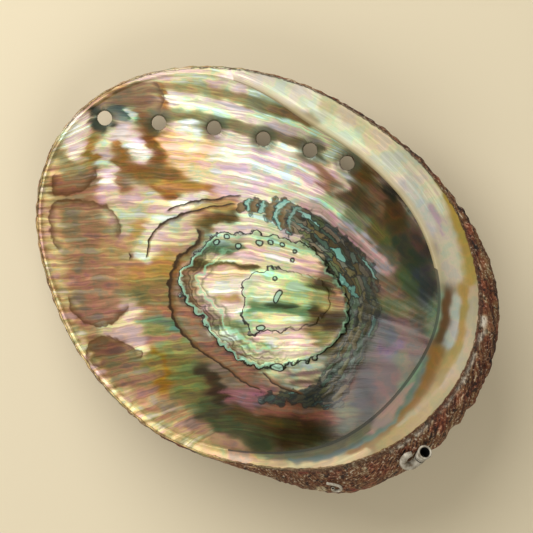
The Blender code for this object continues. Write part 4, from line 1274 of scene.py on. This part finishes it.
dull = add(tree, "MapRange", _0=on_plate, _3=NACRE_DULL, _4=PLATE_DULL)
at_nose = add(tree, "MapRange", _0=read["nose"][1], _1=0.2, _2=0.6, _3=NOSE_DULL, _4=0.0)
dull = add(tree, "Math", "MAXIMUM", _0=dull, _1=at_nose)
dull = add(tree, "MapRange", _0=is_crust, _3=dull, _4=CRUST_DULL)
tree.links.new(dull.outputs[0], shader.inputs["Roughness"])
shader.inputs["IOR"].default_value = NACRE_IOR
repair_lumps = add(tree, "MapRange", _0=wandering["repair"], _1=-0.3, _2=0.3)
scales_high = add(tree, "Math", "MULTIPLY", _0=repair_lumps, _1=cell_edge)
scar_step = add(tree, "MapRange", _0=wandering["scar"], _1=-0.3, _2=0.4, _4=0.8)
young_step = add(tree, "MapRange", _0=wandering["young"], _1=-0.3, _2=0.3, _4=0.5)
crust_high = add(tree, "Math", "MULTIPLY", _0=is_crust, _1=weed)
height = add(tree, "Math", "MULTIPLY", _0=grains["threads"], _1=streaks)
height = add(tree, "Math", "MULTIPLY", _0=height, _1=0.5)
HEIGHTS = ((scales_high, 0.35), (scar_step, 1.6), (young_step, 1.6), (crust_high, 2.6))
for part, tall in HEIGHTS:
    height = add(tree, "Math", "MULTIPLY_ADD", _0=part, _1=tall, _2=height)
bumps = add(tree, "Bump", Strength=1.0, Distance=BUMP, Height=height)
tree.links.new(bumps.outputs[0], shader.inputs["Normal"])
mesh.materials.append(nacre)
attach(shell, "root")
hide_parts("shell")

# Two limy tubes that worms have built on the shell's edge: chalky, ringed by growth, coiled on the
# surface and cemented to it. The large one opens in a round mouth.
LARGE_TUBE_AT = (np.radians(-18.0), 0.38)
LARGE_TUBE = [
    (-1.7, 1.3, 1.3, 0.8),
    (-2.3, -0.4, 1.4, 1.0),
    (-1.5, -1.9, 1.5, 1.1),
    (0.1, -2.5, 1.6, 1.2),
    (1.7, -1.8, 1.7, 1.3),
    (2.3, -0.2, 1.8, 1.4),
    (1.9, 1.6, 2.0, 1.5),
    (0.8, 3.2, 2.3, 1.7),
    (-0.3, 4.4, 2.7, 1.95),
    (-1.2, 5.0, 3.4, 2.15),
]
SMALL_TUBE_AT = (np.radians(-37.5), 0.42)
SMALL_TUBE = [
    (-2.3, -2.6, 0.8, 0.40),
    (-1.6, -0.9, 0.8, 0.42),
    (-0.9, 0.6, 0.8, 0.44),
    (0.2, 1.6, 0.8, 0.46),
    (1.5, 1.5, 0.8, 0.48),
    (2.0, 0.3, 0.8, 0.50),
    (1.4, -0.8, 0.8, 0.50),
    (0.3, -0.8, 1.0, 0.50),
]
TUBE_SIDES = 28
TUBE_STEPS = 9
GROWTH_RING = 0.06
LARGE_BORE = (1.6, 26)
SMALL_BORE = (0.3, 8)


def stand_on(place, angle, share):
    """A point of the surface, with its tangent out from the shell, its one along and its normal."""
    step = 0.01
    here, along, across = place(
        np.array([angle, angle + step, angle]), np.array([share, share, share + step])
    )
    along = (along - here) / np.linalg.norm(along - here)
    normal = np.cross(along, across - here)
    normal *= np.sign(normal @ (here - [*POLE, RIM_LEVEL])) / np.linalg.norm(normal)
    return here, np.cross(along, normal), along, normal


def worm_tube(name, stations, foot, bore, material):
    here, out, along, normal = stand_on(band, *foot)
    knots = np.array(stations)
    ends = np.concatenate([[2 * knots[0] - knots[1]], knots, [2 * knots[-1] - knots[-2]]])
    line = []
    for i in range(len(knots) - 1):
        a, b, c, d = ends[i : i + 4]
        for t in np.arange(TUBE_STEPS) / TUBE_STEPS:
            bend = (2 * a - 5 * b + 4 * c - d) * t**2 + (3 * b - a - 3 * c + d) * t**3
            line.append(b + ((c - a) * t + bend) / 2)
    line = np.array(line + [knots[-1]])
    centres = here + line[:, :3] @ np.array([out, along, normal]) - [0, 0, LOWERED]
    ringed = 1 + GROWTH_RING * np.cos(np.arange(len(line)) * 2.1)
    radii = line[:, 3] * ringed
    directions = np.gradient(centres, axis=0)
    directions /= np.linalg.norm(directions, axis=1)[:, None]
    turns = np.arange(TUBE_SIDES) / TUBE_SIDES * 2 * np.pi

    def ring(i, radius, deeper=0.0):
        up = np.cross(directions[i], normal)
        up /= np.linalg.norm(up)
        side = np.cross(up, directions[i])
        spokes = np.cos(turns)[:, None] * side + np.sin(turns)[:, None] * up
        return centres[i] - deeper * directions[i] + radius * spokes

    rings = [ring(0, radii[0] * k) for k in (0.4, 0.8)]
    rings += [ring(i, radii[i]) for i in range(len(centres))]
    radius, depth = bore
    wall_left = radii[-1] - radius
    rings.append(ring(-1, radii[-1] - 0.25 * wall_left, -0.12))
    rings.append(ring(-1, radii[-1] - 0.75 * wall_left, -0.12))
    outer_rings = len(rings)
    rings += [ring(-i, radius) for i in range(1, depth + 1, 2)]
    tube = bmesh.new()
    tube_loops = [[tube.verts.new(p * MM) for p in points] for points in rings]
    for near, far in zip(tube_loops, tube_loops[1:]):
        for i in range(TUBE_SIDES):
            j = (i + 1) % TUBE_SIDES
            tube.faces.new((near[i], near[j], far[j], far[i]))
    tube.faces.new(tube_loops[0][::-1])
    tube.faces.new(tube_loops[-1])
    bmesh.ops.recalc_face_normals(tube, faces=tube.faces)
    tube_mesh = bpy.data.meshes.new(name)
    tube.to_mesh(tube_mesh)
    tube.free()
    depths = [np.clip((i - outer_rings + 1) / 2, 0, 1) for i in range(len(rings))]
    in_bore = tube_mesh.attributes.new("in_bore", "FLOAT", "POINT")
    in_bore.data.foreach_set("value", np.repeat(depths, TUBE_SIDES).astype(np.float32))
    tube_mesh.shade_smooth()
    tube_mesh.materials.append(material)
    return put(name, tube_mesh)


chalk, tree, shader = new_material("worm_chalk")
position = add(tree, "TexCoord").outputs["Object"]
lime = add(tree, "TexNoise", Vector=position, Scale=600.0, Detail=4.0)
LIME = [(0.32, "#6c5c48"), (0.45, "#948c7c"), (0.57, "#aca494"), (0.70, "#c8c0ae")]
ramp = add(tree, "ValToRGB", stops=LIME, _0=lime)
# Painted shade: the bore is painted near black, deeper into the tube.
bore_shade = add(tree, "Attribute", {"attribute_name": "in_bore"}).outputs["Fac"]
ramp = add(tree, "Mix", IN_COLOUR, _0=bore_shade, _6=ramp, _7="#0a0806").outputs[2]
tree.links.new(ramp, shader.inputs["Base Color"])
shader.inputs["Roughness"].default_value = 0.6
for name, stations, foot, bore in (
    ("worm_coil_large", LARGE_TUBE, LARGE_TUBE_AT, LARGE_BORE),
    ("worm_coil_small", SMALL_TUBE, SMALL_TUBE_AT, SMALL_BORE),
):
    tube = worm_tube(name, stations, foot, bore, chalk)
    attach(tube, "root")
    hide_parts(name.replace("coil", "tube"))

# A plain pale floor under the shell, and soft studio light: a broad box low on the side of the
# photograph's bottom edge that the nacre mirrors, a key from its upper left, and a pale room.
FLOOR_SIZE = 3.0
floor_mesh = bpy.data.meshes.new("studio_floor")
half = FLOOR_SIZE / 2
floor_mesh.from_pydata(
    [(-half, -half, 0), (half, -half, 0), (half, half, 0), (-half, half, 0)], [], [(0, 1, 2, 3)]
)
floor = put("studio_floor", floor_mesh)
cream, tree, shader = new_material("cream_paper")
shader.inputs["Base Color"].default_value = (*linear("#dccfb2"), 1)
shader.inputs["Roughness"].default_value = 0.9
floor_mesh.materials.append(cream)

world = bpy.data.worlds.new("pale_room")
bpy.context.scene.world = world
world.use_nodes = True
background = world.node_tree.nodes["Background"]
background.inputs["Color"].default_value = (*linear("#f0ead8"), 1)
background.inputs["Strength"].default_value = 0.35
LIGHTS = [
    ("key_box", (120, 60), 50.0, 700, 760, 5.8),
    ("mirror_box", (300, 560), 44.0, 650, 460, 1.4),
]
for name, pixel, from_upright, far, size, watts in LIGHTS:
    light = put(name, bpy.data.lights.new(name, "AREA"))
    light.data.shape = "DISK"
    light.data.size = size * MM
    light.data.energy = watts
    aim = place_of(pixel) - view_centre
    aim = aim / np.hypot(*aim) * np.sin(np.radians(from_upright)) * far
    light.location = (*(aim * MM), far * np.cos(np.radians(from_upright)) * MM)
    light.rotation_euler = Vector(light.location).to_track_quat("Z", "Y").to_euler()
